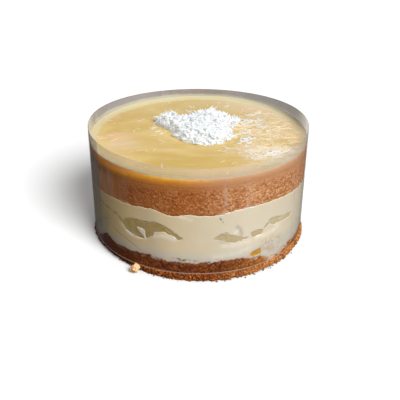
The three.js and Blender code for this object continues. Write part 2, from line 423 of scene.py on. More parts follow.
class Recipe:
    """Adds nodes to one shader or geometry tree."""

    def __init__(self, tree: bpy.types.NodeTree) -> None:
        """Keep the tree that the nodes go into."""
        self.tree = tree

    @staticmethod
    def _find(sockets: bpy.types.bpy_prop_collection, key: int | str) -> Socket:
        """Return a socket in use by its place or its name.

        Args:
            sockets: a node's inputs or outputs.
            key: the place or the name.

        Returns:
            The socket.
        """
        if isinstance(key, int):
            return sockets[key]
        return next(s for s in sockets if s.name == key and s.enabled)

    def node(
        self, kind: str, settings: dict | None = None, sockets: dict | None = None
    ) -> bpy.types.Node:
        """Add a node.

        Args:
            kind: the node's type.
            settings: its properties, set first. A ramp's are under "stops".
            sockets: values or links, by a socket's name or place.

        Returns:
            The node.
        """
        node = self.tree.nodes.new(kind)
        for name, setting in (settings or {}).items():
            if name == "stops":
                self._set_stops(node.color_ramp, setting)
            else:
                setattr(node, name, setting)
        for key, given in (sockets or {}).items():
            socket = self._find(node.inputs, key)
            if isinstance(given, Value):
                self.tree.links.new(given.socket, socket)
            elif isinstance(given, tuple) and len(given) == 3 and socket.type == "RGBA":
                socket.default_value = (*given, 1.0)
            else:
                socket.default_value = given
        return node

    @staticmethod
    def _set_stops(ramp: bpy.types.ColorRamp, stops: tuple) -> None:
        """Give a ramp its places and colours.

        Args:
            ramp: the ramp.
            stops: each stop's place and colour.
        """
        while len(ramp.elements) < len(stops):
            ramp.elements.new(1.0)
        for element, (place, colour) in zip(ramp.elements, stops):
            element.position = place
            element.color = (*colour, 1.0)

    def value(
        self, kind: str, settings: dict | None = None, sockets: dict | None = None,
        output: int | str | None = None,
    ) -> Value:
        """Add a node and return its output, the first one in use unless another is named.

        Args:
            kind: the node's type.
            settings: its properties.
            sockets: values or links, by a socket's name or place.
            output: the output's place or name.

        Returns:
            The output.
        """
        node = self.node(kind, settings, sockets)
        if output is None:
            return Value(self, next(s for s in node.outputs if s.enabled))
        return Value(self, self._find(node.outputs, output))

    def place(self) -> Value:
        """Return the object's own coordinates, in metres."""
        return self.value("ShaderNodeTexCoord", output="Object")

    def parts(self, vector: Value) -> tuple[Value, Value, Value]:
        """Split a vector into its three numbers."""
        node = self.node("ShaderNodeSeparateXYZ", sockets={"Vector": vector})
        return tuple(Value(self, node.outputs[i]) for i in range(3))

    def spot(self) -> tuple[Value, Value, Value]:
        """Return the object's own coordinates one by one, in mm."""
        return tuple(metres / MM for metres in self.parts(self.place()))

    def mark(self, name: str) -> Value:
        """Return an attribute that the mesh carries."""
        return self.value("ShaderNodeAttribute", {"attribute_name": name}, output="Fac")

    def stretched(self, vector: Value, scale: Triple) -> Value:
        """Stretch a vector along its axes."""
        return self.value("ShaderNodeVectorMath", {"operation": "MULTIPLY"}, {0: vector, 1: scale})

    def cloud(self, vector: Value, size: float, detail: float = 2.0, rough: float = 0.5,
              twist: float = 0.0) -> Value:
        """Return soft noise of 0 to 1 whose patches are about size mm across.

        Args:
            vector: where the noise is read.
            size: the patches' size in mm.
            detail: how many finer layers there are.
            rough: how strong those are.
            twist: how far the noise is warped.

        Returns:
            The noise.
        """
        return self.value("ShaderNodeTexNoise", None, {
            "Vector": vector, "Scale": 1 / (size * MM), "Detail": detail, "Roughness": rough,
            "Distortion": twist,
        }, "Fac")

    def mix(self, share: Value | float, a: Value | Colour, b: Value | Colour,
            blend: str = "MIX") -> Value:
        """Mix two colours."""
        return self.value("ShaderNodeMix", {"data_type": "RGBA", "blend_type": blend},
                          {"Factor": share, "A": a, "B": b})

    def bump(self, height: Value, depth: float, strength: float = 1.0) -> Value:
        """Return normals for a relief of depth mm."""
        return self.value("ShaderNodeBump", None,
                          {"Strength": strength, "Distance": depth * MM, "Height": height})


class Skin(Recipe):
    """A material's node tree."""

    def __init__(self, name: str) -> None:
        """Make an empty material.

        Args:
            name: the material's name.
        """
        self.material = bpy.data.materials.new(name)
        self.material.use_nodes = True
        super().__init__(self.material.node_tree)
        self.tree.nodes.clear()

    def surface(self, **sockets: object) -> Value:
        """Return a Principled shader, its sockets named with underscores for spaces."""
        named = {key.replace("_", " "): given for key, given in sockets.items()}
        return self.value("ShaderNodeBsdfPrincipled", None, named)

    def finish(self, shader: Value) -> Material:
        """Show a shader and return the material."""
        self.node("ShaderNodeOutputMaterial", None, {"Surface": shader})
        return self.material


class Shape(Recipe):
    """A Geometry Nodes tree with named inputs, made into a plain mesh."""

    def __init__(self, name: str, **inputs: float | int) -> None:
        """Start the tree with its inputs, each a number.

        Args:
            name: the tree's name.
            inputs: each named input's number.
        """
        super().__init__(bpy.data.node_groups.new(name, "GeometryNodeTree"))
        socket = self.tree.interface.new_socket
        socket("Geometry", in_out="INPUT", socket_type="NodeSocketGeometry")
        socket("Geometry", in_out="OUTPUT", socket_type="NodeSocketGeometry")
        self.numbers = {}
        for label, number in inputs.items():
            kind = "NodeSocketInt" if isinstance(number, int) else "NodeSocketFloat"
            made = socket(label, in_out="INPUT", socket_type=kind)
            self.numbers[made.identifier] = number
        self.entry = self.tree.nodes.new("NodeGroupInput")

    def given(self, label: str) -> Value:
        """Return one of the tree's named inputs."""
        return Value(self, self.entry.outputs[label])

    def drawn(self, low: float, high: float, seed: int) -> Value:
        """Return a random number for each point."""
        return self.value("FunctionNodeRandomValue", {"data_type": "FLOAT"},
                          {"Min": low, "Max": high, "Seed": seed})

    def bake(self, name: str, shape: Value, host: Piece,
             material: Material) -> Piece:
        """End the tree, run it on a host and keep only the plain mesh.

        Args:
            name: the new object's name.
            shape: the geometry that the tree has made.
            host: the object whose mesh goes in, which is removed.
            material: the finish.

        Returns:
            The object, at the origin.
        """
        real = self.value("GeometryNodeRealizeInstances", None, {"Geometry": shape})
        dressed = self.value("GeometryNodeSetMaterial", None,
                             {"Geometry": real, "Material": material})
        self.node("NodeGroupOutput", None, {"Geometry": dressed})
        modifier = host.modifiers.new(self.tree.name, "NODES")
        modifier.node_group = self.tree
        for identifier, number in self.numbers.items():
            modifier[identifier] = number
        graph = bpy.context.evaluated_depsgraph_get()
        mesh = bpy.data.meshes.new_from_object(host.evaluated_get(graph), depsgraph=graph)
        mesh.name = name
        bpy.data.objects.remove(host)
        bpy.data.node_groups.remove(self.tree)
        return add_object(name, mesh)


@dataclass(frozen=True)
class Scatter:
    """Strews small templates over a host, as thick as its attribute "cover" says."""

    per_cm2: float
    smallest: float
    largest: float
    tilt: float
    seed: int

    def strew(self, name: str, host: Piece, templates: list[Piece],
              material: Material) -> Piece:
        """Make the strewn pieces.

        Args:
            name: the new object's name.
            host: the surface, which is removed.
            templates: the small pieces to pick from, which are removed.
            material: the finish.

        Returns:
            One plain object.
        """
        kit = bpy.data.collections.new(name + "_kit")
        for template in templates:
            kit.objects.link(template)
            bpy.context.scene.collection.objects.unlink(template)
        shape = Shape(name + "_strewing", Density=self.per_cm2 * 1e4, Smallest=self.smallest,
                      Largest=self.largest, Tilt=math.radians(self.tilt), Seed=self.seed)
        cover = shape.value("GeometryNodeInputNamedAttribute", {"data_type": "FLOAT"},
                            {"Name": "cover"})
        spots = shape.node("GeometryNodeDistributePointsOnFaces", None, {
            "Mesh": shape.given("Geometry"),
            "Density": cover * shape.given("Density"),
            "Seed": shape.given("Seed"),
        })
        tilt = shape.given("Tilt")
        lean = [shape.drawn(-1.0, 1.0, self.seed + i) * tilt for i in (1, 2)]
        turn = shape.drawn(0.0, math.tau, self.seed + 3)
        euler = shape.value("ShaderNodeCombineXYZ", None, {"X": lean[0], "Y": lean[1], "Z": turn})
        facing = shape.value("FunctionNodeRotateRotation", {"rotation_space": "LOCAL"}, {
            "Rotation": Value(shape, spots.outputs["Rotation"]),
            "Rotate By": shape.value("FunctionNodeEulerToRotation", None, {"Euler": euler}),
        })
        span = shape.given("Largest") - shape.given("Smallest")
        size = shape.given("Smallest") + span * shape.drawn(0.0, 1.0, self.seed + 4)
        picked = shape.value("FunctionNodeRandomValue", {"data_type": "INT"},
                             {"Min": 0, "Max": len(templates) - 1, "Seed": self.seed + 5})
        pieces = shape.value("GeometryNodeInstanceOnPoints", None, {
            "Points": Value(shape, spots.outputs["Points"]),
            "Instance": shape.value("GeometryNodeCollectionInfo", None, {
                "Collection": kit, "Separate Children": True, "Reset Children": True}),
            "Pick Instance": True,
            "Instance Index": picked,
            "Rotation": facing,
            "Scale": size,
        })
        tinted = shape.value(
            "GeometryNodeStoreNamedAttribute", {"data_type": "FLOAT", "domain": "INSTANCE"},
            {"Geometry": pieces, "Name": "tint", "Value": shape.drawn(0.0, 1.0, self.seed + 6)},
        )
        made = shape.bake(name, tinted, host, material)
        for template in templates:
            bpy.data.objects.remove(template)
        bpy.data.collections.remove(kit)
        return made


# ---- finishes


@dataclass(frozen=True)
class SpongeFinish:
    """Crumbed sponge, with painted shade in its pores and between crumbs. Its mesh marks pores,
    smooth wet and browner places, and milky smears.
    """

    name: str
    crumb: Colour
    toasted: Colour
    pore: Colour
    speck: Colour
    brown: Colour
    deep: Colour
    dull: Colour
    # paler colour painted on the far left flank as the film's sheen
    painted_sheen: Colour
    soaked: Colour
    sinking: Colour
    crumb_size: float
    milk: Colour = linear(222, 200, 184)
    patch_size: float = 14.0
    warp_size: float = 2.4
    warp: Triple = (0.0008, 0.0008, 0.0008)
    relief: float = 0.3

    def material(self) -> Material:
        """Dress the sponge.

        Returns:
            The material.
        """
        skin = Skin(self.name)
        at = skin.place()
        patches = skin.cloud(at, self.patch_size, 3, 0.6).rise(0.35, 0.68)
        shift = skin.stretched(skin.cloud(at, self.warp_size, 2), self.warp)
        warped = skin.value("ShaderNodeVectorMath", {"operation": "ADD"}, {0: at, 1: shift})
        crumbs = skin.node("ShaderNodeTexVoronoi", None,
                           {"Vector": warped, "Scale": 1 / (self.crumb_size * MM)})
        gap = Value(skin, crumbs.outputs["Distance"])
        toast = skin.parts(Value(skin, crumbs.outputs["Color"]))[0]
        dry = 1 - skin.mark("wet") * 0.8
        brown = skin.mark("brown")
        pore = skin.mix(brown, self.pore, self.deep)
        colour = skin.mix(patches, self.crumb, self.toasted)
        # The browner places are partly syrup and partly painted shade.
        colour = skin.mix(brown, colour, skin.mix(patches * 0.6, self.brown, self.deep))
        speck = skin.mix(brown * 0.9, self.speck, self.dull)
        colour = skin.mix(toast.rise(0.45, 0.95) * dry * 0.7, colour, speck)
        colour = skin.mix(toast.rise(0.4, 0.0) * dry * 0.4, colour, pore)
        # Painted shade: the gaps between crumbs and the pores are darkened.
        colour = skin.mix(gap.rise(0.4, 0.85) * dry * 0.5, colour, pore)
        colour = skin.mix(skin.mark("pore") * 0.6, colour, pore)
        # Painted sheen: the far left turns paler, standing for the film's reflection.
        far_left = skin.spot()[0].rise(-42.0, -72.0)
        colour = skin.mix(far_left * brown * 0.8, colour, self.painted_sheen)
        colour = skin.mix(skin.mark("soak"), colour, skin.mix(brown, self.soaked, self.sinking))
        # The smears are milky cream; on the upper sponge's left they also paint a veil of the
        # film's reflection.
        colour = skin.mix(skin.mark("smear"), colour, self.milk)
        gloss = skin.mark("wet").most(skin.mark("smear"))
        return skin.finish(skin.surface(
            Base_Color=colour,
            Roughness=0.85 - gloss * 0.25,
            Specular_IOR_Level=0.15,
            Normal=skin.bump((1 - gap) * dry, self.relief),
        ))


@dataclass(frozen=True)
class CreamFinish:
    """Smooth ivory cream, with creases, and thin greyish places where the sponge shows through;
    creases, holes and fruit edges are darkened with painted shade, and some whiter marks are
    painted highlights.
    """

    name: str = "ivory_cream"
    ivory: Colour = linear(218, 206, 184)
    warm: Colour = linear(213, 200, 173)
    syrup: Colour = linear(232, 198, 134)
    cool: Colour = linear(198, 194, 184)
    # painted shade for creases, air holes and the fruit's edges
    crease: Colour = linear(112, 94, 62)
    bruise: Colour = linear(196, 164, 146)
    # whiter cream for smears and painted highlights
    white: Colour = linear(244, 236, 218)
    # lavender grey for smudges, and for painted shade
    grey: Colour = linear(182, 170, 162)
    patch_size: float = 22.0
    pit_size: float = 1.6
    relief: float = 0.12

    def material(self) -> Material:
        """Dress the cream.

        Returns:
            The material.
        """
        skin = Skin(self.name)
        at = skin.place()
        x, _, z = skin.spot()
        patches = skin.cloud(at, self.patch_size, 2).rise(0.3, 0.7)
        colour = skin.mix(patches, self.ivory, self.warm)
        # Yellower towards the left: partly syrup, partly painted warm light.
        colour = skin.mix(x.rise(22.0, -60.0) * 0.8, colour, self.syrup)
        colour = skin.mix(z.rise(24.0, 15.0) * 0.7, colour, self.cool)
        # white paints smears and highlights, grey smudges and shade, crease the shade in creases,
        # holes and round the fruit.
        marked = {
            "white": self.white, "thin": self.bruise, "grey": self.grey, "crease": self.crease}
        for mark, tone in marked.items():
            colour = skin.mix(skin.mark(mark), colour, tone)
        return skin.finish(skin.surface(
            Base_Color=colour,
            Roughness=0.42 + skin.mark("thin") * 0.2,
            Subsurface_Weight=0.25,
            Subsurface_Radius=(0.006, 0.004, 0.002),
            Subsurface_Scale=0.5,
            Normal=skin.bump(skin.cloud(at, self.pit_size, 2), self.relief, 0.5),
        ))


@dataclass(frozen=True)
class FruitFinish:
    """Moist pineapple flesh with fibres along each piece. Its mesh marks along, across and tone."""

    name: str = "pineapple_flesh"
    olive: Colour = linear(167, 145, 88)
    pale: Colour = linear(183, 153, 109)
    # the colour of the painted light at the pieces' left end
    painted_light: Colour = linear(214, 192, 116)
    yellow: Colour = linear(190, 140, 36)
    core: Colour = linear(138, 112, 66)
    milk: Colour = linear(208, 196, 166)
    blotch_size: float = 5.0
    fibre_size: float = 1.0
    relief: float = 0.2

    def material(self) -> Material:
        """Dress the flesh.

        Returns:
            The material.
        """
        skin = Skin(self.name)
        along = skin.value("ShaderNodeCombineXYZ", None, {
            "X": skin.mark("along") * 0.25, "Y": skin.mark("across"), "Z": skin.mark("deep")})
        fibres = skin.cloud(along, self.fibre_size, 3, 0.6, 0.3)
        blotches = skin.cloud(skin.place(), self.blotch_size, 2)
        colour = skin.mix(blotches.rise(0.3, 0.7), self.olive, self.pale)
        colour = skin.mix(fibres.rise(0.5, 0.3) * 0.45, colour, self.core)
        # Painted light: the pieces turn lighter towards their left end.
        colour = skin.mix(skin.spot()[0].rise(-32.0, -58.0) * 0.6, colour, self.painted_light)
        colour = skin.mix(skin.mark("milk"), colour, self.milk)
        colour = skin.mix(skin.mark("tone"), colour, self.yellow)
        return skin.finish(skin.surface(
            Base_Color=colour,
            Roughness=0.42 + fibres * 0.15,
            Subsurface_Weight=0.2,
            Subsurface_Radius=(0.004, 0.003, 0.001),
            Subsurface_Scale=0.5,
            Normal=skin.bump(fibres, self.relief, 0.4),
        ))


@dataclass(frozen=True)
class JellyFinish:
    """Glossy yellow jelly, mottled on top, amber to brown down its side, with a painted orange glow
    on the left.
    """

    name: str = "pineapple_jelly"
    golden: Colour = linear(198, 168, 96)
    light: Colour = linear(212, 184, 122)
    # the orange of the painted glow through the side
    painted_glow: Colour = (1.0, 0.44, 0.03)
    peach: Colour = linear(220, 182, 138)
    rim: Colour = linear(200, 189, 156)
    shaded: Colour = linear(196, 178, 134)
    veil: Colour = linear(234, 218, 202)
    golden_size: float = 30.0
    peach_size: float = 24.0
    streak_size: float = 5.0
    wobble_size: float = 4.0
    ripple_size: float = 9.0
    relief: float = 0.25
    amber: Stops = stops(
        (0.00, 190, 114, 42),
        (0.35, 204, 128, 44),
        (0.62, 228, 158, 56),
        (0.84, 254, 208, 96),
        (1.00, 255, 232, 150),
    )
    peachy: Stops = stops(
        (0.00, 192, 136, 96),
        (0.35, 196, 144, 104),
        (0.68, 204, 154, 114),
        (0.90, 214, 172, 132),
        (1.00, 226, 200, 168),
    )

    def material(self) -> Material:
        """Dress the jelly.

        Returns:
            The material.
        """
        skin = Skin(self.name)
        at = skin.place()
        x, y, _ = skin.spot()
        wide = skin.stretched(at, (0.65, 1.15, 1.0))
        golden = skin.cloud(wide, self.golden_size, 3, 0.55, 0.4).rise(0.36, 0.64)
        colour = skin.mix(golden, self.golden, self.light)
        peach = skin.cloud(wide, self.peach_size, 2, 0.5, 0.6).rise(0.52, 0.7)
        colour = skin.mix(peach * skin.mark("peach"), colour, self.peach)
        long = skin.stretched(at, (0.25, 1.4, 1.0))
        streaks = skin.cloud(long, self.streak_size, 3, 0.6).rise(0.55, 0.8)
        far = (x * 0.8 + y * 0.6).rise(28.0, 78.0)
        colour = skin.mix(y.rise(0.0, 75.0) * 0.5, colour, self.shaded)
        colour = skin.mix(streaks * 0.3 + far * 0.4, colour, self.veil)
        colour = skin.mix(skin.mark("rim"), colour, self.rim)
        colour = skin.mix(skin.mark("veil"), colour, self.veil)
        wobble = skin.cloud(at, self.wobble_size, 3, 0.6) - 0.5
        depth = skin.mark("depth") + wobble * 0.35
        amber, peachy = (
            skin.value("ShaderNodeValToRGB", {"stops": ramp}, {"Fac": depth}, "Color")
            for ramp in (self.amber, self.peachy)
        )
        side = skin.mix(x.rise(-22.0, 26.0), amber, peachy)
        # Painted glow: on the left, below its top, the side turns orange as though light shone
        # through the jelly.
        painted_light = x.rise(-8.0, -55.0) * depth.rise(0.15, 0.65) * depth.rise(1.1, 0.85)
        side = skin.mix(painted_light * 0.95, side, self.painted_glow)
        colour = skin.mix(skin.mark("side"), colour, side)
        ripples = skin.cloud(skin.stretched(at, (0.5, 1.0, 1.0)), self.ripple_size, 2)
        dull = skin.mark("side").most(skin.mark("rim"))
        return skin.finish(skin.surface(
            Base_Color=colour,
            Roughness=0.16 + skin.mark("veil") * 0.3 + dull * 0.3,
            IOR=1.36,
            Subsurface_Weight=0.5,
            Subsurface_Radius=(0.005, 0.002, 0.0006),
            Subsurface_Scale=1.0,
            Normal=skin.bump(ripples, self.relief, 0.4),
        ))


@dataclass(frozen=True)
class CoconutFinish:
    """White coconut, a little translucent, with a warmer grey tone at random and a faint painted
    glow.
    """

    name: str
    white: Colour = linear(217, 221, 223)
    shade: Colour = linear(211, 210, 203)
    rough: float = 0.6
    flake_size: float = 2.2
    fibre_size: float = 0.8
    relief: float = 0.1
    painted_glow: float = 0.18  # stands for light that wanders through the heap

    def material(self) -> Material:
        """Dress the coconut.

        Returns:
            The material.
        """
        skin = Skin(self.name)
        at = skin.place()
        flakes = skin.cloud(at, self.flake_size, 3, 0.6)
        colour = skin.mix(skin.mark("tint") * 0.5, self.white, self.shade)
        colour = skin.mix(flakes.rise(0.5, 0.25) * 0.5, colour, self.shade)
        return skin.finish(skin.surface(
            Base_Color=colour,
            Roughness=self.rough + flakes * 0.15,
            Subsurface_Weight=0.4,
            Subsurface_Radius=(0.004, 0.004, 0.0038),
            Subsurface_Scale=1.0,
            # Painted light: the shreds glow faintly with their own white.
            Emission_Color=self.white,
            Emission_Strength=self.painted_glow,
            Normal=skin.bump(skin.cloud(at, self.fibre_size, 3), self.relief, 0.4),
        ))


@dataclass(frozen=True)
class CrumbFinish:
    """Loose dry crumbs, each of its own toast, and lighter towards the right."""

    name: str
    pale: Colour
    dark: Colour
    light: Colour
    toast_size: float = 1.2
    dust_size: float = 2.0
    grit_size: float = 0.6
    relief: float = 0.3

    def material(self) -> Material:
        """Dress the crumbs.

        Returns:
            The material.
        """
        skin = Skin(self.name)
        at = skin.place()
        toast = skin.mark("tint") * 0.8 + skin.cloud(at, self.toast_size, 2) * 0.4 - 0.1
        right = skin.spot()[0].rise(0.0, 60.0)
        colour = skin.mix(toast, skin.mix(right, self.pale, self.light), self.dark)
        return skin.finish(skin.surface(
            Base_Color=colour,
            Roughness=0.8 + skin.cloud(at, self.dust_size) * 0.1,
            Specular_IOR_Level=0.25,
            Normal=skin.bump(skin.cloud(at, self.grit_size, 3, 0.7), self.relief),
        ))


@dataclass(frozen=True)
class FilmFinish:
    """Thin clear film: faint haze against the cake, more where it stands free, bright edges, and
    painted reflections in its back band and upright streaks.
    """

    name: str = "clear_film"
    haze: Colour = linear(230, 216, 200)
    mauve: Colour = (0.23, 0.2, 0.19)
    brown: Colour = (0.2, 0.145, 0.105)
    reflected_jelly: Colour = (0.47, 0.43, 0.32)
    tint: Colour = (0.995, 0.995, 0.993)
    shine: Colour = (0.95, 0.95, 0.95)
    free_from: float = 72.4
    mist_size: float = 12.0

    def material(self) -> Material:
        """Dress the film.

        Returns:
            The material.
        """
        skin = Skin(self.name)
        x, y, height = skin.spot()
        free = height.rise(self.free_from - 1.2, self.free_from + 0.8)
        top = FILM_BOTTOM + FILM_WIDTH
        edge = height.rise(FILM_BOTTOM + 0.9, FILM_BOTTOM + 0.2)
        misty = skin.cloud(skin.stretched(skin.place(), (1.0, 1.0, 0.4)), self.mist_size, 3, 0.6)
        back = y.rise(-8.0, 26.0)
        # The marked streaks add haze as painted reflections.
        haze = free * (0.12 + misty * 0.12 + back * 0.42) + 0.004 + skin.mark("reflection_streak") * 0.2
        haze = haze + edge * 0.2 + height.rise(top - 0.7, top - 0.2) * back * 0.1
        # Painted: the back band, hazier, takes the colours that the film shows there, a mauve grey
        # at the sides and brown in the middle, with the creamy yellow of the jelly's reflection low
        # down.
        far = skin.mix(abs(x).rise(42.0, 12.0), self.mauve, self.brown)
        far = skin.mix((height + misty * 2).rise(77.4, 75.4), far, self.reflected_jelly)
        colour = skin.mix(back * free, self.haze, far)
        clear = skin.value("ShaderNodeBsdfTransparent", None, {"Color": self.tint})
        misted = skin.surface(Base_Color=colour, Roughness=0.35)
        body = skin.value("ShaderNodeMixShader", None, {0: haze.least(0.85), 1: clear, 2: misted})
        gloss = skin.value("ShaderNodeBsdfGlossy", None,
                           {"Color": self.shine, "Roughness": 0.05})
        facing = skin.value("ShaderNodeLayerWeight", None, {"Blend": 0.5}, "Facing")
        sheen = 0.006 + facing**5 * 0.4
        return skin.finish(skin.value("ShaderNodeMixShader", None, {0: sheen, 1: body, 2: gloss}))


@dataclass(frozen=True)
class FloorFinish:
    """The studio's plain pale floor."""

    name: str = "pale_floor"
    pale: Colour = (0.86, 0.86, 0.86)

    def material(self) -> Material:
        """Dress the floor.

        Returns:
            The material.
        """
        skin = Skin(self.name)
        shade = tuple(0.985 * share for share in self.pale)
        tone = skin.mix(skin.cloud(skin.place(), 90, 2), self.pale, shade)
        return skin.finish(skin.surface(Base_Color=tone, Roughness=0.9, Specular_IOR_Level=0.1))


# ---- the cake


class Edge(Enum):
    """The lines round the side where one layer gives way to the next."""

    CREAM_BOTTOM = (CREAM_BOTTOM, CREAM_BOTTOM_WAVES, 0.95, 11)
    CREAM_TOP = (CREAM_TOP, CREAM_TOP_WAVES, 0.45, 23)
    SPONGE_TOP = (SPONGE_TOP, SPONGE_TOP_WAVES, 0.5, 37)

    def at(self, angles: Array, share: Array | float = 1.0) -> Array:
        """Return the height at angles, for a share of 0 on the axis to 1 at the side."""
        level, waves = self.value[:2]
        return level + wave_sum(waves, angles) * np.asarray(share) ** 4

    def above(self, angles: Array, heights: Array) -> Array:
        """Return how far places on the side lie above the ragged line, in mm.

        Args:
            angles: the places' angles.
            heights: their heights.

        Returns:
            The distance above the line, below it if negative.
        """
        ragged, seed = self.value[2:]
        at = around(angles, PRESSED_RADIUS, heights) * (1, 1, 1.5)
        grain = Grain(seed)
        wander = grain.layered(at, 5.5, 2) * ragged + grain.layered(at, 1.3, 2) * ragged * 0.6
        return heights - self.at(angles) + wander


@dataclass
class CakeLayer:
    """What the layers share: a closed skin whose side gives way at ragged edges."""

    columns: int
    side_rows: int
    lap: float = 1.5  # how far a layer's side reaches past its edge, behind its neighbour
    tuck: float = 1.7  # how far in it lies there

    @property
    def angles(self) -> Array:
        """Return the columns' angles."""
        return np.arange(self.columns) * 360 / self.columns

    @staticmethod
    def plateau(angles: Array, middle: float, half: float, fade: float) -> Array:
        """Return 1 within half of a middle angle, fading out over fade degrees past that."""
        return np.exp(-((np.clip(np.abs(apart(angles, middle)) - half, 0, None) / fade) ** 2))

    def between(self, bottom: Array | float, top: Array | float) -> Array:
        """Return the heights of the side's rings, spread evenly from bottom to top."""
        return bottom + (top - bottom) * np.linspace(0, 1, self.side_rows)[:, None]

    def face(self, edge: Edge, lift: float, outwards: bool) -> Rings:
        """Return the radius and height of the rings of a hidden face inside the cake.

        Args:
            edge: the line that the face ends at.
            lift: how far above the edge's own height it lies.
            outwards: whether the rings run from the middle outwards.

        Returns:
            The rings' distances from the axis, and their heights.
        """
        share = np.array([0.3, 0.6, 0.85, 0.965])[:: 1 if outwards else -1, None]
        return share * CAKE_RADIUS + 0 * self.angles, edge.at(self.angles, share) + lift

    def close(
        self, name: str, rings: tuple[Rings, Rings, Rings], marks: dict[str, Marks],
        material: Material,
    ) -> Piece:
        """Close a layer's lower rings, side and upper rings into one skin.

        Args:
            name: the object's name.
            rings: the three blocks of rings, from below.
            marks: each attribute's values on the three blocks.
            material: the layer's finish.

        Returns:
            The layer.
        """
        radius, height = (np.vstack(blocks) for blocks in zip(*rings))
        spread = {
            label: np.vstack([
                np.broadcast_to(values, block.shape) for values, (block, _) in zip(given, rings)])
            for label, given in marks.items()
        }
        return lathe_object(name, self.angles, radius, height, spread, material)


@dataclass
class BaseSponge(CakeLayer):
    """The reddish-brown base, pressed by the film above its crumbly, flaring foot."""

    columns: int = 1400
    side_rows: int = 34
    foot_rows: int = 16
    flare: float = 1.5
    widest: float = 0.35  # the share of the foot's height at which it is widest
    pore_size: float = 1.9
    pore_depth: float = 0.5
    bit_size: float = 0.9  # of the small crumbs on the foot
    milky: Waves = (
        (-26, 9, 0.3), (28, 12, 0.2), (46, 14, 0.5), (130, 30, 0.3), (215, 30, 0.3))
    soaked: Waves = ((-58, 34, 1.0),)
    finish: SpongeFinish = SpongeFinish(
        "base_sponge_crumb",
        crumb=linear(184, 113, 47), toasted=linear(158, 87, 28), pore=linear(86, 38, 11),
        speck=linear(206, 140, 60), brown=linear(107, 47, 6), deep=linear(72, 28, 4),
        dull=linear(156, 77, 13), painted_sheen=linear(107, 47, 6), soaked=linear(126, 60, 44),
        sinking=linear(126, 60, 44), crumb_size=1.3,
    )

    def foot(self, angles: Array, heights: Array) -> Array:
        """Return how far the foot stands out past the film's inside.

        Args:
            angles: the places' angles.
            heights: their heights.

        Returns:
            The distance past the film.
        """
        from_widest = (heights / FOOT_HEIGHT - self.widest) / (1 - self.widest)
        bulge = np.clip(1 - from_widest**2, 0, None) * (heights <= FOOT_HEIGHT)
        return self.flare * (1 + wave_sum(FOOT_WAVES, angles)) * bulge

    def build(self) -> Piece:
        """Build the base.

        Returns:
            The base, closed all round.
        """
        angles = self.angles
        foot_rows = np.linspace(0.12, FILM_BOTTOM, self.foot_rows)[:, None]
        top = Edge.CREAM_BOTTOM.at(angles) + self.lap + 1.0
        rise = np.linspace(0, 1, self.side_rows + 1)[1:, None]
        side = stack(foot_rows, FILM_BOTTOM + (top - FILM_BOTTOM) * rise, columns=self.columns)
        at = around(angles, PRESSED_RADIUS, side)
        grain = Grain(5)
        spots = grain.lumps(at, self.pore_size)
        pore = smooth_step(spots + grain.layered(at, 4, 2) * 0.35, 0.55, 0.95)
        below_film = smooth_step(side, FILM_BOTTOM + 0.3, FILM_BOTTOM - 0.9)
        crumbs = (0.75 - spots) * 1.5 + (0.7 - grain.lumps(at, self.bit_size)) * 0.55
        ragged = grain.layered(at, 7, 2) * 0.55
        above = Edge.CREAM_BOTTOM.above(angles, side)
        radius = PRESSED_RADIUS - 0.05 - pore * self.pore_depth * (1 - below_film * 0.6)
        radius += self.foot(angles, side) + below_film * (crumbs + ragged - 0.35)
        radius -= self.tuck * smooth_step(above, -0.3, 1.1)
        radius -= smooth_step(side, 0.9, 0.1) * 0.7
        milk = smooth_step(grain.layered(at * (0.8, 0.8, 1.0), 4.5, 3), -0.25, 0.4)
        milky = 0.1 + wave_sum(self.milky, angles)
        smear = milk * smooth_step(above, -3.0, -0.2) * milky * (1 - below_film)
        wet = wave_sum(self.soaked, angles) * (1 - below_film)
        # Darker brown round the front left: partly the sponge's colour, partly painted shade.
        brown = self.plateau(angles, -50, 56, 18) * np.ones_like(side)
        underside = stack(25.0, 50.0, 70.0, radius[0] - 0.8, columns=self.columns)
        return self.close(
            "sponge_base",
            ((underside, 0 * underside), (radius, side),
             self.face(Edge.CREAM_BOTTOM, 0.0, outwards=False)),
            {
                "pore": (0, pore, 0), "wet": (0, wet, 0), "brown": (0, brown, 0),
                "smear": (0, smear, 0),
            },
            self.finish.material(),
        )


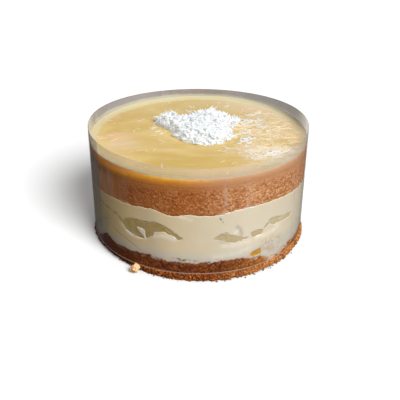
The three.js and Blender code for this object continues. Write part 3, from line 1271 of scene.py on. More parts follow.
@dataclass
class UpperSponge(CakeLayer):
    """The golden-brown upper sponge: darker on the left, partly from syrup and partly painted
    shade, and dry crumb on the right.
    """

    columns: int = 1400
    side_rows: int = 56
    lap: float = 1.0
    tuck: float = 1.2
    pore_size: float = 1.5
    pore_depth: float = 0.4
    # painted veil of the film's reflection, paler round these angles
    veiled: Waves = ((-68, 23, 0.46), (96, 20, 0.2))
    finish: SpongeFinish = SpongeFinish(
        "upper_sponge_crumb",
        crumb=linear(202, 143, 98), toasted=linear(186, 124, 78), pore=linear(138, 80, 44),
        speck=linear(230, 178, 130), brown=linear(164, 93, 36), deep=linear(148, 78, 29),
        dull=linear(190, 124, 66), painted_sheen=linear(234, 158, 100), soaked=linear(192, 136, 96),
        sinking=linear(174, 106, 48), crumb_size=1.15,
    )

    def build(self) -> Piece:
        """Build the upper sponge.

        Returns:
            The sponge, closed all round.
        """
        angles = self.angles
        top = Edge.SPONGE_TOP.at(angles) + 0.25
        side = self.between(Edge.CREAM_TOP.at(angles) - self.lap, top)
        at = around(angles, PRESSED_RADIUS, side)
        grain = Grain(7)
        wet = self.plateau(angles, -78, 22, 30)
        patchy = grain.layered(at, 9, 2)
        wet = np.clip(wet + patchy * 0.25 * wet, 0, 1) * np.ones_like(side)
        soak = smooth_step(side - top + grain.layered(at, 4, 2) * 1.1, -5.0, -0.8)
        dry = (1 - wet * 0.85) * (1 - soak)
        crumbs = grain.lumps(at, self.pore_size) + grain.layered(at, 3.4, 2) * 0.3
        pore = smooth_step(crumbs, 0.55, 0.95) * dry
        # Darker brown on the left: partly syrup, partly painted shade.
        browner = self.plateau(angles, -59, 53, 17)
        brown = np.clip(browner + patchy * 0.3 * browner, 0, 1) * np.ones_like(side)
        below = -Edge.CREAM_TOP.above(angles, side)
        radius = PRESSED_RADIUS - pore * self.pore_depth
        radius -= self.tuck * smooth_step(below, -0.2, 0.8)
        smear_and_veil = np.exp(-((below + 0.5) / 0.6) ** 2) * smooth_step(patchy, 0.1, 0.5) * 0.5
        upright = 0.55 + grain.layered(at * (1, 1, 0.2), 2.4, 2) * 0.9
        # Painted reflection: a milky veil is added round the veiled angles.
        smear_and_veil += wave_sum(self.veiled, angles) * np.clip(upright, 0, 1)
        return self.close(
            "sponge_upper",
            (self.face(Edge.CREAM_TOP, LAYER_GAP, outwards=True), (radius, side),
             self.face(Edge.SPONGE_TOP, 0.0, outwards=False)),
            {
                "pore": (0, pore, 0), "wet": (0, wet, 0), "brown": (0, brown, 0),
                "soak": (0, soak, 1), "smear": (0, np.clip(smear_and_veil, 0, 1), 0),
            },
            self.finish.material(),
        )


@dataclass(frozen=True)
class FruitPiece:
    """A pineapple piece at the side, as a tilted, tapered, squarish oval seen from outside."""

    node: str
    angle: float
    height: float
    size: tuple[float, float] = (0.0, 0.0)
    tilt: float = 0.0
    taper: float = 0.0
    tone: float = 0.0
    milk: float = 0.0

    squareness: ClassVar[float] = 2.667
    tucked: ClassVar[float] = 0.7  # how far the flesh reaches in under the cream round it
    sunk: ClassVar[float] = 0.08  # how far its face lies behind the cream's
    half_depth: ClassVar[float] = 5.2
    stations: ClassVar[int] = 64
    loop: ClassVar[int] = 40

    @property
    def reach(self) -> float:
        """Return half the piece's length."""
        return self.size[0] / 2

    def profile(self, along: Array) -> tuple[Array, Array]:
        """Return the height of the middle line and half the height of the piece.

        Args:
            along: distances from the piece's middle.

        Returns:
            The two heights.
        """
        share = np.clip(along / self.reach, -1, 1)
        half = (1 - np.abs(share) ** self.squareness) ** (1 / self.squareness)
        widening = 1 + self.taper * np.sign(share) * np.abs(share) ** (4 / 3)
        return np.zeros_like(share), self.size[1] / 2 * half * widening

    def edge_distance(self, angles: Array, heights: Array) -> Array:
        """Return how far places on the side lie outside the piece's outline, in mm.

        Args:
            angles: the places' angles.
            heights: their heights.

        Returns:
            The distance, negative inside the outline.
        """
        right = np.radians(apart(angles, self.angle)) * PRESSED_RADIUS
        up = heights - self.height
        lean = math.radians(self.tilt)
        along = right * math.cos(lean) + up * math.sin(lean)
        across = up * math.cos(lean) - right * math.sin(lean)
        middle, half = self.profile(along)
        beyond = np.clip(np.abs(along) - self.reach, 0, None)
        return np.hypot(beyond, np.clip(np.abs(across - middle) - half, 0, None)) + np.minimum(
            0, np.maximum(np.abs(across - middle) - half, np.abs(along) - self.reach))

    def build(self, material: Material) -> Piece:
        """Return the piece: rounded flesh, pressed flat against the film.

        Args:
            material: its finish.

        Returns:
            The object.
        """
        share = -np.cos(np.linspace(0, math.pi, self.stations + 1))[1:-1, None]
        middle, half = self.profile(share * self.reach)
        along = share * (self.reach + self.tucked)
        turn = np.arange(self.loop) * math.tau / self.loop
        cosine, sine = (
            np.sign(wave) * np.abs(wave) ** 0.45 for wave in (np.cos(turn), np.sin(turn)))
        across = middle + (half + self.tucked) * cosine
        thick = self.half_depth * (1 - np.abs(share) ** 3) ** (1 / 3) + 0.2
        centre = PRESSED_RADIUS - thick + 0.7
        radius = np.minimum(centre + thick * sine, PRESSED_RADIUS - self.sunk)
        along = along + 0 * across
        ends = np.array([[-self.reach, 0.0], [self.reach, 0.0]])
        ends[:, 1] = self.profile(ends[:, 0])[0]
        ends[:, 0] *= 1 + self.tucked / self.reach
        along = np.concatenate([along.ravel(), ends[:, 0]])
        across = np.concatenate([across.ravel(), ends[:, 1]])
        radius = np.append(radius.ravel(), [PRESSED_RADIUS - 0.8] * 2)
        grain = Grain(int(self.angle) % 97 + 3)
        flat = np.stack([along, across, radius - PRESSED_RADIUS], axis=-1)
        across = across + grain.layered(flat, 4.5, 2) * 0.35
        fibres = grain.layered(flat * (0.3, 1.6, 1.0), 1.5, 2)
        dents = grain.layered(flat, 3.2)
        radius = radius - np.clip(fibres, 0, 1) * 0.2 - np.clip(dents, 0, 1) * 0.3
        lean = math.radians(self.tilt)
        right = along * math.cos(lean) - across * math.sin(lean)
        up = along * math.sin(lean) + across * math.cos(lean)
        angles = self.angle + np.degrees(right / PRESSED_RADIUS)
        points = around(angles, radius, self.height + up)
        return mesh_object(
            self.node.replace("pineapple", "fruit"), points,
            self._faces(self.stations - 1, self.loop),
            {
                "along": along * MM, "across": across * MM,
                "deep": (radius - PRESSED_RADIUS) * MM, "tone": np.full(len(along), self.tone),
                "milk": np.full(len(along), self.milk),
            },
            material,
        )

    @staticmethod
    def _faces(rows: int, loop: int) -> list[tuple[int, ...]]:
        """Return the faces of loops closed by a point at each end.

        Args:
            rows: the number of loops.
            loop: the points in each.

        Returns:
            Each face's point indices.
        """
        first, last = rows * loop, rows * loop + 1
        faces = []
        for j in range(loop):
            k = (j + 1) % loop
            faces.append((first, k, j))
            faces += [(i * loop + j, i * loop + k, (i + 1) * loop + k, (i + 1) * loop + j)
                      for i in range(rows - 1)]
            faces.append((last, (rows - 1) * loop + j, (rows - 1) * loop + k))
        return faces


@dataclass(frozen=True)
class OutlinedPiece(FruitPiece):
    """A pineapple piece with an outline of its own: an upper and a lower line, from its middle."""

    upper: tuple[tuple[float, float], ...] = ()
    lower: tuple[tuple[float, float], ...] = ()

    @property
    def reach(self) -> float:
        """Return half the piece's length."""
        return (self.upper[-1][0] - self.upper[0][0]) / 2

    def profile(self, along: Array) -> tuple[Array, Array]:
        """Return the height of the middle line and half the height of the piece.

        Args:
            along: distances from the piece's middle.

        Returns:
            The two heights.
        """
        at = along + (self.upper[-1][0] + self.upper[0][0]) / 2
        high = np.interp(at, *zip(*self.upper))
        low = np.interp(at, *zip(*self.lower))
        return (high + low) / 2, np.clip((high - low) / 2, 0, None)


# A slice of a pineapple ring seen edge-on: thick at its left end, arched, with a tail.
RING_SLICE = OutlinedPiece(
    "pineapple_ring_slice", -24.5, 32.5,
    upper=(
        (-20.8, -0.3), (-19.8, 1.4), (-17.6, 3.2), (-13.2, 5.3), (-9.6, 5.8), (-1.5, 5.9),
        (4.6, 7.1), (7.5, 6.7), (11.2, 5.5), (15.4, 3.0), (18.6, 0.8), (22.7, -2.3),
    ),
    lower=(
        (-20.8, -0.3), (-18.0, -3.4), (-15.6, -4.7), (-12.7, -6.1), (-4.2, -6.9), (-1.6, -6.4),
        (1.2, -4.1), (3.4, -2.6), (4.6, 0.2), (8.3, 1.1), (12.1, 1.8), (14.0, 0.4), (18.1, -0.8),
        (20.3, -3.0), (22.7, -2.3),
    ),
)
# The thick piece on the right, with its left end torn.
RIGHT_PIECE = OutlinedPiece(
    "pineapple_right", 16.5, 30.2, milk=0.45,
    upper=(
        (-10.2, 0.1), (-7.8, 1.8), (-6.3, 3.2), (-2.8, 3.6), (0.8, 1.5), (4.5, -0.1), (7.8, -1.6),
        (12.8, -2.4),
    ),
    lower=(
        (-10.2, 0.1), (-7.7, -0.9), (-4.2, -2.3), (-0.5, -3.3), (3.0, -4.0), (5.7, -3.5),
        (12.8, -2.4),
    ),
)
# The long thin piece beyond it, which rises to the right.
RIGHT_SLIVER = OutlinedPiece(
    "pineapple_right_sliver", 46.5, 33.6, milk=0.6,
    upper=(
        (-11.8, 1.5), (-9.9, 3.0), (-4.8, 2.2), (3.8, -0.2), (7.7, -0.2), (13.6, -1.7),
    ),
    lower=(
        (-11.8, 1.5), (-9.1, -1.5), (-5.8, -2.2), (0.5, -2.5), (9.1, -3.3), (13.6, -1.7),
    ),
)

FRUIT: tuple[FruitPiece, ...] = (
    RING_SLICE,
    FruitPiece("pineapple_far_left", -59, 20.5, (20, 8.5), 38, -0.3, milk=0.8),
    RIGHT_PIECE,
    FruitPiece("pineapple_right_small", 29.8, 29.4, (8.5, 3.6), -4, 0.1, milk=0.4),
    RIGHT_SLIVER,
    FruitPiece("pineapple_yellow_chunk", 30, 14.7, (8.2, 3.9), 12, 0.15, tone=0.95),
    FruitPiece("pineapple_back_a", 84, 27, (24, 8), -8, 0.3, milk=0.3),
    FruitPiece("pineapple_back_b", 113, 34, (17, 6), 7, -0.2, tone=0.15),
    FruitPiece("pineapple_back_c", 141, 26.5, (28, 9.5), -4, -0.35),
    FruitPiece("pineapple_back_d", 174, 35, (20, 6.5), 10, 0.2, tone=0.1, milk=0.2),
    FruitPiece("pineapple_back_e", 206, 27.5, (26, 8.5), 5, 0.35, milk=0.1),
    FruitPiece("pineapple_back_f", 238, 33.5, (18, 7), -9, -0.15, tone=0.25),
    FruitPiece("pineapple_back_g", 265, 24.5, (15, 6), 14, 0.1, milk=0.3),
)


@dataclass(frozen=True)
class Stroke:
    """A soft line drawn on the cake's side, through places of angle and height."""

    places: tuple[tuple[float, float], ...]
    width: float
    strength: float = 1.0

    def mask(self, angles: Array, heights: Array) -> Array:
        """Return 0 to 1, by how near each place on the side is to the line.

        Args:
            angles: the places' angles.
            heights: their heights.

        Returns:
            The mask.
        """
        nearest = np.full(np.broadcast(angles, heights).shape, 1e9)
        for (a0, z0), (a1, z1) in zip(self.places, self.places[1:]):
            right = np.radians(apart(angles, a0)) * CAKE_RADIUS
            up = heights - z0
            run, lift = math.radians(a1 - a0) * CAKE_RADIUS, z1 - z0
            share = np.clip((right * run + up * lift) / (run * run + lift * lift), 0, 1)
            nearest = np.minimum(nearest, np.hypot(right - share * run, up - share * lift))
        return self.strength * np.exp(-((nearest / self.width) ** 2))


def strokes(*rows: tuple) -> tuple[Stroke, ...]:
    """Return strokes from rows that each hold a width, a strength and the places."""
    return tuple(Stroke(tuple(places), width, strength) for width, strength, *places in rows)


def drawn(group: tuple[Stroke, ...], angles: Array, heights: Array) -> Array:
    """Return 0 to 1, by how strongly a group of strokes marks each place on the side."""
    return np.clip(sum(stroke.mask(angles, heights) for stroke in group), 0, 1)


@dataclass
class CreamFilling(CakeLayer):
    """The thick cream, with pockets that show the fruit, smears over it, creases and air holes."""

    columns: int = 1150
    side_rows: int = 78
    pocket_depth: float = 1.9
    crease_depth: float = 0.15
    hole_depth: float = 0.4
    creases: tuple[Stroke, ...] = strokes(
        (0.6, 0.7, (-78, 40), (-66, 38.5), (-57, 38), (-48.5, 37.1), (-43.8, 36.6), (-41, 33.4)),
        (0.4, 0.5, (-52, 26), (-43, 22.5), (-37.6, 20.7), (-32.6, 18.1), (-28.4, 15.5)),
        (1.8, 0.4, (-76, 30), (-68, 22), (-62, 14)),
        (0.3, 0.9, (-21, 39.6), (-17.6, 38.9), (-14, 36.6), (-11, 33.9), (-7.4, 30.6)),
        (0.3, 0.35, (-40, 33.2), (-38, 36.6), (-33, 38.4)),
        (0.3, 0.7, (26.5, 30.6), (29.5, 31.3), (32.9, 31.0)),
        (0.4, 1.0, (32.9, 29.8), (34.2, 31.7), (35.9, 33.2), (37.6, 34.8), (39, 36.7)),
        (0.25, 0.5, (39, 36.9), (43, 36), (49.4, 33.7), (56.5, 32.4)),
        (0.42, 1.1, (10.4, 44.8), (12, 41.8)),
        (0.5, 1.1, (3.4, 13.4), (4.4, 12.6), (5.6, 13.4)),
        (0.45, 0.9, (-9.8, 15.6), (-6.4, 13.6)),
        (0.45, 0.8, (-9.0, 13.8), (-5.8, 15.2)),
        (0.35, 0.7, (33.3, 21.6), (33.4, 21.7)),
        (0.3, 0.6, (35.2, 21.9), (35.3, 22.0)),
        (0.35, 0.6, (-14, 15.9), (-10, 15.2), (-4, 14.9), (0, 14.2)),
        (0.4, 0.5, (96, 40), (104, 38.5), (116, 40.5)),
        (0.45, 0.5, (152, 20), (160, 22.5), (170, 21.5)),
        (0.4, 0.5, (218, 41), (226, 39.5), (233, 40.5)),
        (0.4, 0.5, (244, 18), (252, 20.5), (258, 19)),
    )
    smears: tuple[Stroke, ...] = strokes(
        (1.2, 1.0, (-30.6, 32.2), (-28.6, 30.8), (-26.4, 26.2)),
        (1.6, 1.0, (-30.2, 32.3), (-27.8, 32.0)),
        (1.9, 1.0, (-28.8, 30.6), (-27.6, 30.2)),
        (1.5, 1.0, (-37.4, 26.6), (-33.5, 25.8), (-31.2, 25.4)),
        (1.7, 1.0, (-21.2, 29.6), (-18.0, 31.2), (-14.4, 31.0), (-11.6, 29.6)),
        (0.9, 1.0, (11.2, 28.2), (13.4, 27.2)),
        (0.6, 1.0, (44, 33.6), (47, 33.2)),
        (1.2, 1.0, (136, 27.5), (139, 24.5)),
        (1.2, 1.0, (208, 29.5), (212, 26.5)),
        (1.0, 1.0, (85, 29), (88, 26.5)),
    )
    # Whiter cream: smeared cream, and painted highlights such as the first stroke beside the ring
    # slice.
    whites: tuple[Stroke, ...] = strokes(
        (1.3, 0.5, (-43, 31), (-39, 28), (-34, 25.2)),
        (1.1, 0.55, (-9, 46.2), (-5, 45.2), (-3.4, 44.4)),
        (1.6, 0.4, (12, 24.6), (20, 24.0), (27, 25.4)),
        (1.0, 0.6, (18, 33.4), (19.4, 34.6)),
        (2.0, 0.5, (30, 26.4), (36, 26.0), (44, 28.4)),
        (2.2, 0.3, (8, 17), (20, 17.6), (26, 20)),
    )
    # Lavender grey smudges; the last, widest stroke paints shade on the cream's middle left.
    greys: tuple[Stroke, ...] = strokes(
        (1.3, 0.75, (19.0, 37.6), (20.8, 35.0), (21.4, 31.6)),
        (1.2, 0.5, (8.6, 30.6), (11.4, 28.2), (14.6, 27.4)),
        (0.9, 0.5, (27.5, 29.4), (31, 30.0)),
        (0.8, 0.5, (10.6, 28.6), (13.8, 27.0)),
        (3.0, 0.3, (-58, 34), (-52, 30)),
        (7.0, 0.3, (-25, 44), (-22, 16)),
    )
    finish: CreamFinish = CreamFinish()

    def build(self) -> Piece:
        """Build the cream.

        Returns:
            The cream, closed all round.
        """
        angles = self.angles
        bottom = Edge.CREAM_BOTTOM.at(angles) - self.lap - 1.0
        side = self.between(bottom, Edge.CREAM_TOP.at(angles) + self.lap)
        at = around(angles, PRESSED_RADIUS, side)
        grain = Grain(13)
        smear = drawn(self.smears, angles, side)
        right_half = smooth_step(angles, 4, 12) * smooth_step(angles, 80, 70)
        wander = grain.layered(at, 3.0, 2) * 0.35 + grain.layered(at, 1.5, 2) * 0.5 * right_half
        distance = np.minimum.reduce([f.edge_distance(angles, side) for f in FRUIT]) + wander
        pocket = smooth_step(distance, 0.15, -0.45) * (1 - smooth_step(smear, 0.3, 0.75))
        crease = drawn(self.creases, angles, side)
        crease *= smooth_step(grain.layered(at, 2.2, 2), -0.7, 0.1)
        lip = np.exp(-((distance - 0.15) / 0.45) ** 2)
        lip *= smooth_step(grain.layered(at, 2.6), -0.1, 0.5)
        right_side = np.exp(-(apart(angles, 39) / 8) ** 2) * smooth_step(side, 25, 18)
        grey = drawn(self.greys, angles, side)
        white = smear * 0.8 + drawn(self.whites, angles, side)
        white = np.clip(white * (0.8 + grain.layered(at, 2.0, 2) * 0.6), 0, 1)
        low = smooth_step(side - Edge.CREAM_BOTTOM.at(angles), 4.4, 0.3)
        airy = np.clip(right_side * 0.9 + low * 0.35 + 0.04, 0, 1)
        holes = smooth_step(grain.layered(at * (1, 1, 1.2), 1.5, 2), 0.30, 0.62) * airy
        above = Edge.CREAM_BOTTOM.above(angles, side)
        below = -Edge.CREAM_TOP.above(angles, side)
        radius = PRESSED_RADIUS - self.pocket_depth * pocket - self.crease_depth * crease
        radius -= self.hole_depth * holes
        radius += grain.layered(at, 16) * 0.03
        radius -= self.tuck * smooth_step(above, 0.3, -1.1)
        radius -= self.tuck * smooth_step(below, 0.2, -0.8)
        mottled = smooth_step(grain.layered(at, 3.4, 3), -0.1, 0.5)
        thin = low * (0.3 + mottled * 0.5) + right_side * mottled * 0.75 + lip * 0.2
        # Painted shade: creases, air holes and the lip round the fruit are darkened.
        dark = np.clip(crease + holes * 0.55 + lip * 0.2, 0, 1)
        return self.close(
            "cream_layer",
            (self.face(Edge.CREAM_BOTTOM, LAYER_GAP, outwards=True), (radius, side),
             self.face(Edge.CREAM_TOP, 0.0, outwards=False)),
            {
                "thin": (0, np.clip(thin, 0, 1), 0), "white": (0, white, 0), "grey": (0, grey, 0),
                "crease": (0, dark, 0),
            },
            self.finish.material(),
        )


@dataclass
class JellyTop(CakeLayer):
    """The jelly sheet, level and glossy, with a small climb where it meets the film."""

    columns: int = 540
    side_rows: int = 20
    meniscus_rise: float = 0.9
    meniscus_reach: float = 1.6
    veiled: tuple[Mound, Mound, Mound] = (
        Mound(-52, -22, 12, 12, 0.3), Mound(48, -34, 20, 13), Mound(50, 0, 17, 34))
    finish: JellyFinish = JellyFinish()

    def build(self) -> Piece:
        """Build the jelly.

        Returns:
            The jelly, closed all round.
        """
        angles = self.angles
        climb = self.meniscus_rise + wave_sum(((150, 38, 1.5), (215, 30, 0.4)), angles)
        rim = JELLY_TOP + climb
        side = self.between(Edge.SPONGE_TOP.at(angles) + 0.05, rim)
        inwards = np.concatenate([
            [0.12, 0.3, 0.55, 0.9, 1.3, 1.8, 2.4, 3.2, 4.2, 5.4, 6.8, 8.4],
            np.linspace(10, 74.2, 56),
        ])[:, None]
        face_radius = PRESSED_RADIUS - inwards + 0 * angles
        grain = Grain(19)
        at = around(angles, face_radius, 0)
        waves = grain.layered(at * (0.7, 1, 1), 26, 2) * 0.14 * smooth_step(inwards, 0.5, 8)
        level = JELLY_TOP + climb * np.exp(-inwards / self.meniscus_reach) + waves
        x, y = at[..., 0], at[..., 1]
        spots = grain.layered(at * (0.8, 1.2, 1), 7, 3)
        front_left, front_right, strewn = (patch.at(x, y) for patch in self.veiled)
        veil = front_left + front_right * (0.75 + spots) + strewn * (0.18 + spots * 0.5)
        veil = np.clip(veil, 0, 0.85)
        peach = np.clip(0.45 + grain.layered(at, 40) + x / 160, 0.1, 1)
        left_back = np.exp(-(apart(angles, 235) / 75) ** 2)
        width = 2.2 + 3.2 * left_back + 1.5 * np.exp(-(apart(angles, 120) / 40) ** 2)
        edge_pale = smooth_step(inwards + spots * 1.2, width + 2.2, width - 1.4) * 0.75
        on_side = smooth_step(side, rim - 0.05, rim - 0.6)
        return self.close(
            "jelly_sheet",
            (self.face(Edge.SPONGE_TOP, LAYER_GAP, outwards=True),
             (np.full_like(side, PRESSED_RADIUS + 0.05), side), (face_radius, level)),
            {
                "side": (1, on_side, 0), "depth": (0, self.between(0.0, 1.0), 1),
                "veil": (0, 0, veil), "peach": (0, 0, peach), "rim": (0, 0, edge_pale),
            },
            self.finish.material(),
        )


# ---- coconut and crumbs


@dataclass(frozen=True)
class Shred:
    """One shred of coconut: a thin curled strip, lying along X."""

    length: float
    width: float
    curl: float
    bend: float
    twist: float
    thickness: float = 0.3
    segments: int = 7

    def points(self) -> Array:
        """Return the strip's corners in mm, four for each station.

        Returns:
            The corners, by station.
        """
        share = np.linspace(0, 1, self.segments + 1)
        x = (share - 0.5) * self.length
        y = self.bend * self.length * (share - 0.5) ** 2
        z = self.curl * self.length * ((share - 0.5) ** 2 * 2 - 0.1)
        half = self.width / 2 * (1 - 0.75 * np.abs(2 * share - 1) ** 3)
        roll = self.twist * (share - 0.5)
        corners = []
        for across, up in ((-1, -1), (1, -1), (1, 1), (-1, 1)):
            side = half * across
            lift = self.thickness / 2 * up
            corners.append(np.stack([
                x, y + side * np.cos(roll) - lift * np.sin(roll),
                z + side * np.sin(roll) + lift * np.cos(roll)], axis=-1))
        return np.stack(corners, axis=1)

    @staticmethod
    def faces(stations: int, start: int = 0) -> list[tuple[int, ...]]:
        """Return the faces of a strip of so many stations.

        Args:
            stations: how many.
            start: the first point's index.

        Returns:
            Each face's point indices.
        """
        last = start + (stations - 1) * 4
        faces = [(start, start + 3, start + 2, start + 1), (last, last + 1, last + 2, last + 3)]
        for i in range(stations - 1):
            a, b = start + i * 4, start + (i + 1) * 4
            faces += [(a + j, a + (j + 1) % 4, b + (j + 1) % 4, b + j) for j in range(4)]
        return faces

    def template(self, name: str) -> Piece:
        """Return the strip as an object to be strewn."""
        points = self.points()
        return mesh_object(name, points.reshape(-1, 3), self.faces(len(points)))


def shred_kit(
    name: str, count: int, length: tuple[float, float], width: tuple[float, float], curl: float,
    seed: int,
) -> list[Piece]:
    """Make templates of shreds that differ in size, curl and twist.

    Args:
        name: what the templates' names start with.
        count: how many.
        length: the shortest and the longest in mm.
        width: the narrowest and the widest in mm.
        curl: the most that one curls up.
        seed: of the draw.

    Returns:
        The templates.
    """
    draw = np.random.default_rng(seed)
    return [
        Shred(draw.uniform(*length), draw.uniform(*width), draw.uniform(-0.3, 1) * curl,
              draw.uniform(-0.9, 0.9), draw.uniform(-1.6, 1.6)).template(f"{name}_{i}")
        for i in range(count)
    ]


@dataclass
class CoconutHeap:
    """The heap of shredded coconut: a clumpy core under a thick cover of shreds."""

    centre: tuple[float, float] = (3.0, 4.0)
    radius: float = 26.5
    dome_rise: float = 9.4 * 0.62
    humps: tuple[Mound, ...] = (
        # the ridge, the tongue on the left, and the dip between them
        Mound(3, 14, 15, 9, 4.2), Mound(-23, 11, 9, 8, 2.4), Mound(-13, 15, 6.5, 9, -3.6))
    lobes: Waves = (
        (8, 24, 2.0), (91, 20, -7.5), (128, 17, 7.5), (243, 15, 14.5), (285, 18, -3.5),
        (320, 18, -1.5),
    )
    inset: float = 2.6
    columns: int = 220
    rings: int = 46
    clumps: int = 30
    scatter: Scatter = Scatter(per_cm2=50, smallest=0.5, largest=1.2, tilt=15, seed=43)
    finish: CoconutFinish = CoconutFinish("coconut_shred")
    core_finish: CoconutFinish = CoconutFinish("coconut_core", shade=linear(236, 234, 228))

    def _surface(self) -> Array:
        """Return the core's points, in rings from its edge to its middle.

        Returns:
            The points, by ring and column.
        """
        angles = np.arange(self.columns) * 360 / self.columns
        share = np.linspace(1, 0, self.rings + 1)[:-1, None] ** 0.8
        edge = self.radius + wave_sum(self.lobes, angles) - self.inset
        flat = around(angles, share * edge, 0)
        x, y = flat[..., 0], flat[..., 1]
        grain = Grain(29)
        dome = (1 - share**2.4) * self.dome_rise + sum(hump.at(x, y) for hump in self.humps)
        draw = np.random.default_rng(31)
        lumps = np.zeros_like(x)
        for _ in range(self.clumps):
            turn, reach = draw.uniform(0, 360), math.sqrt(draw.random())
            out = reach * (self.radius + wave_sum(self.lobes, np.array(turn)) - 6)
            cx, cy = out * math.sin(math.radians(turn)), -out * math.cos(math.radians(turn))
            wide, tall = draw.uniform(4.5, 8.5), draw.uniform(1.6, 3.6)
            gap = np.hypot(x - cx, y - cy) / wide
            lumps = np.maximum(lumps, tall * np.sqrt(np.clip(1 - gap**2, 0, None)))
        rim = smooth_step(1 - share, 0.0, 0.10)
        fine = grain.layered(flat, 3.2, 2) * 0.5 + grain.layered(flat, 8) * 0.7
        height = 0.05 + rim * np.clip(0.3 + dome * 0.95 + lumps * 0.7 + fine, 0.2, None)
        return around(angles, share * edge, height) + (*self.centre, JELLY_TOP)

    def build(self) -> tuple[Piece, Piece]:
        """Return the core and the shreds.

        Returns:
            The two objects.
        """
        points = self._surface()
        rows, columns = points.shape[:2]
        flat = points.reshape(-1, 3)
        under = flat[:columns].copy()
        under[:, 2] = JELLY_TOP - 0.3
        middle = np.array([*self.centre, 0])
        top_middle = middle + (0, 0, points[-1, :, 2].mean())
        low_middle = middle + (0, 0, JELLY_TOP - 0.3)
        every = np.vstack([flat, under, top_middle, low_middle])
        total = rows * columns
        faces = []
        for j in range(columns):
            k = (j + 1) % columns
            faces += [
                (i * columns + j, i * columns + k, (i + 1) * columns + k, (i + 1) * columns + j)
                for i in range(rows - 1)]
            faces.append(((rows - 1) * columns + j, (rows - 1) * columns + k, total + columns))
            faces.append((total + j, total + k, k, j))
            faces.append((total + k, total + j, total + columns + 1))
        thick = np.repeat([1.0, 0.0], [total, columns + 2])
        core = mesh_object("coconut_core", every, faces, None, self.core_finish.material())
        host = mesh_object("coconut_host", every, faces, {"cover": thick})
        kit = shred_kit("shred", 12, (6.0, 13.0), (1.1, 3.2), 0.18, 41)
        shreds = self.scatter.strew("coconut_shreds", host, kit, self.finish.material())
        return core, shreds


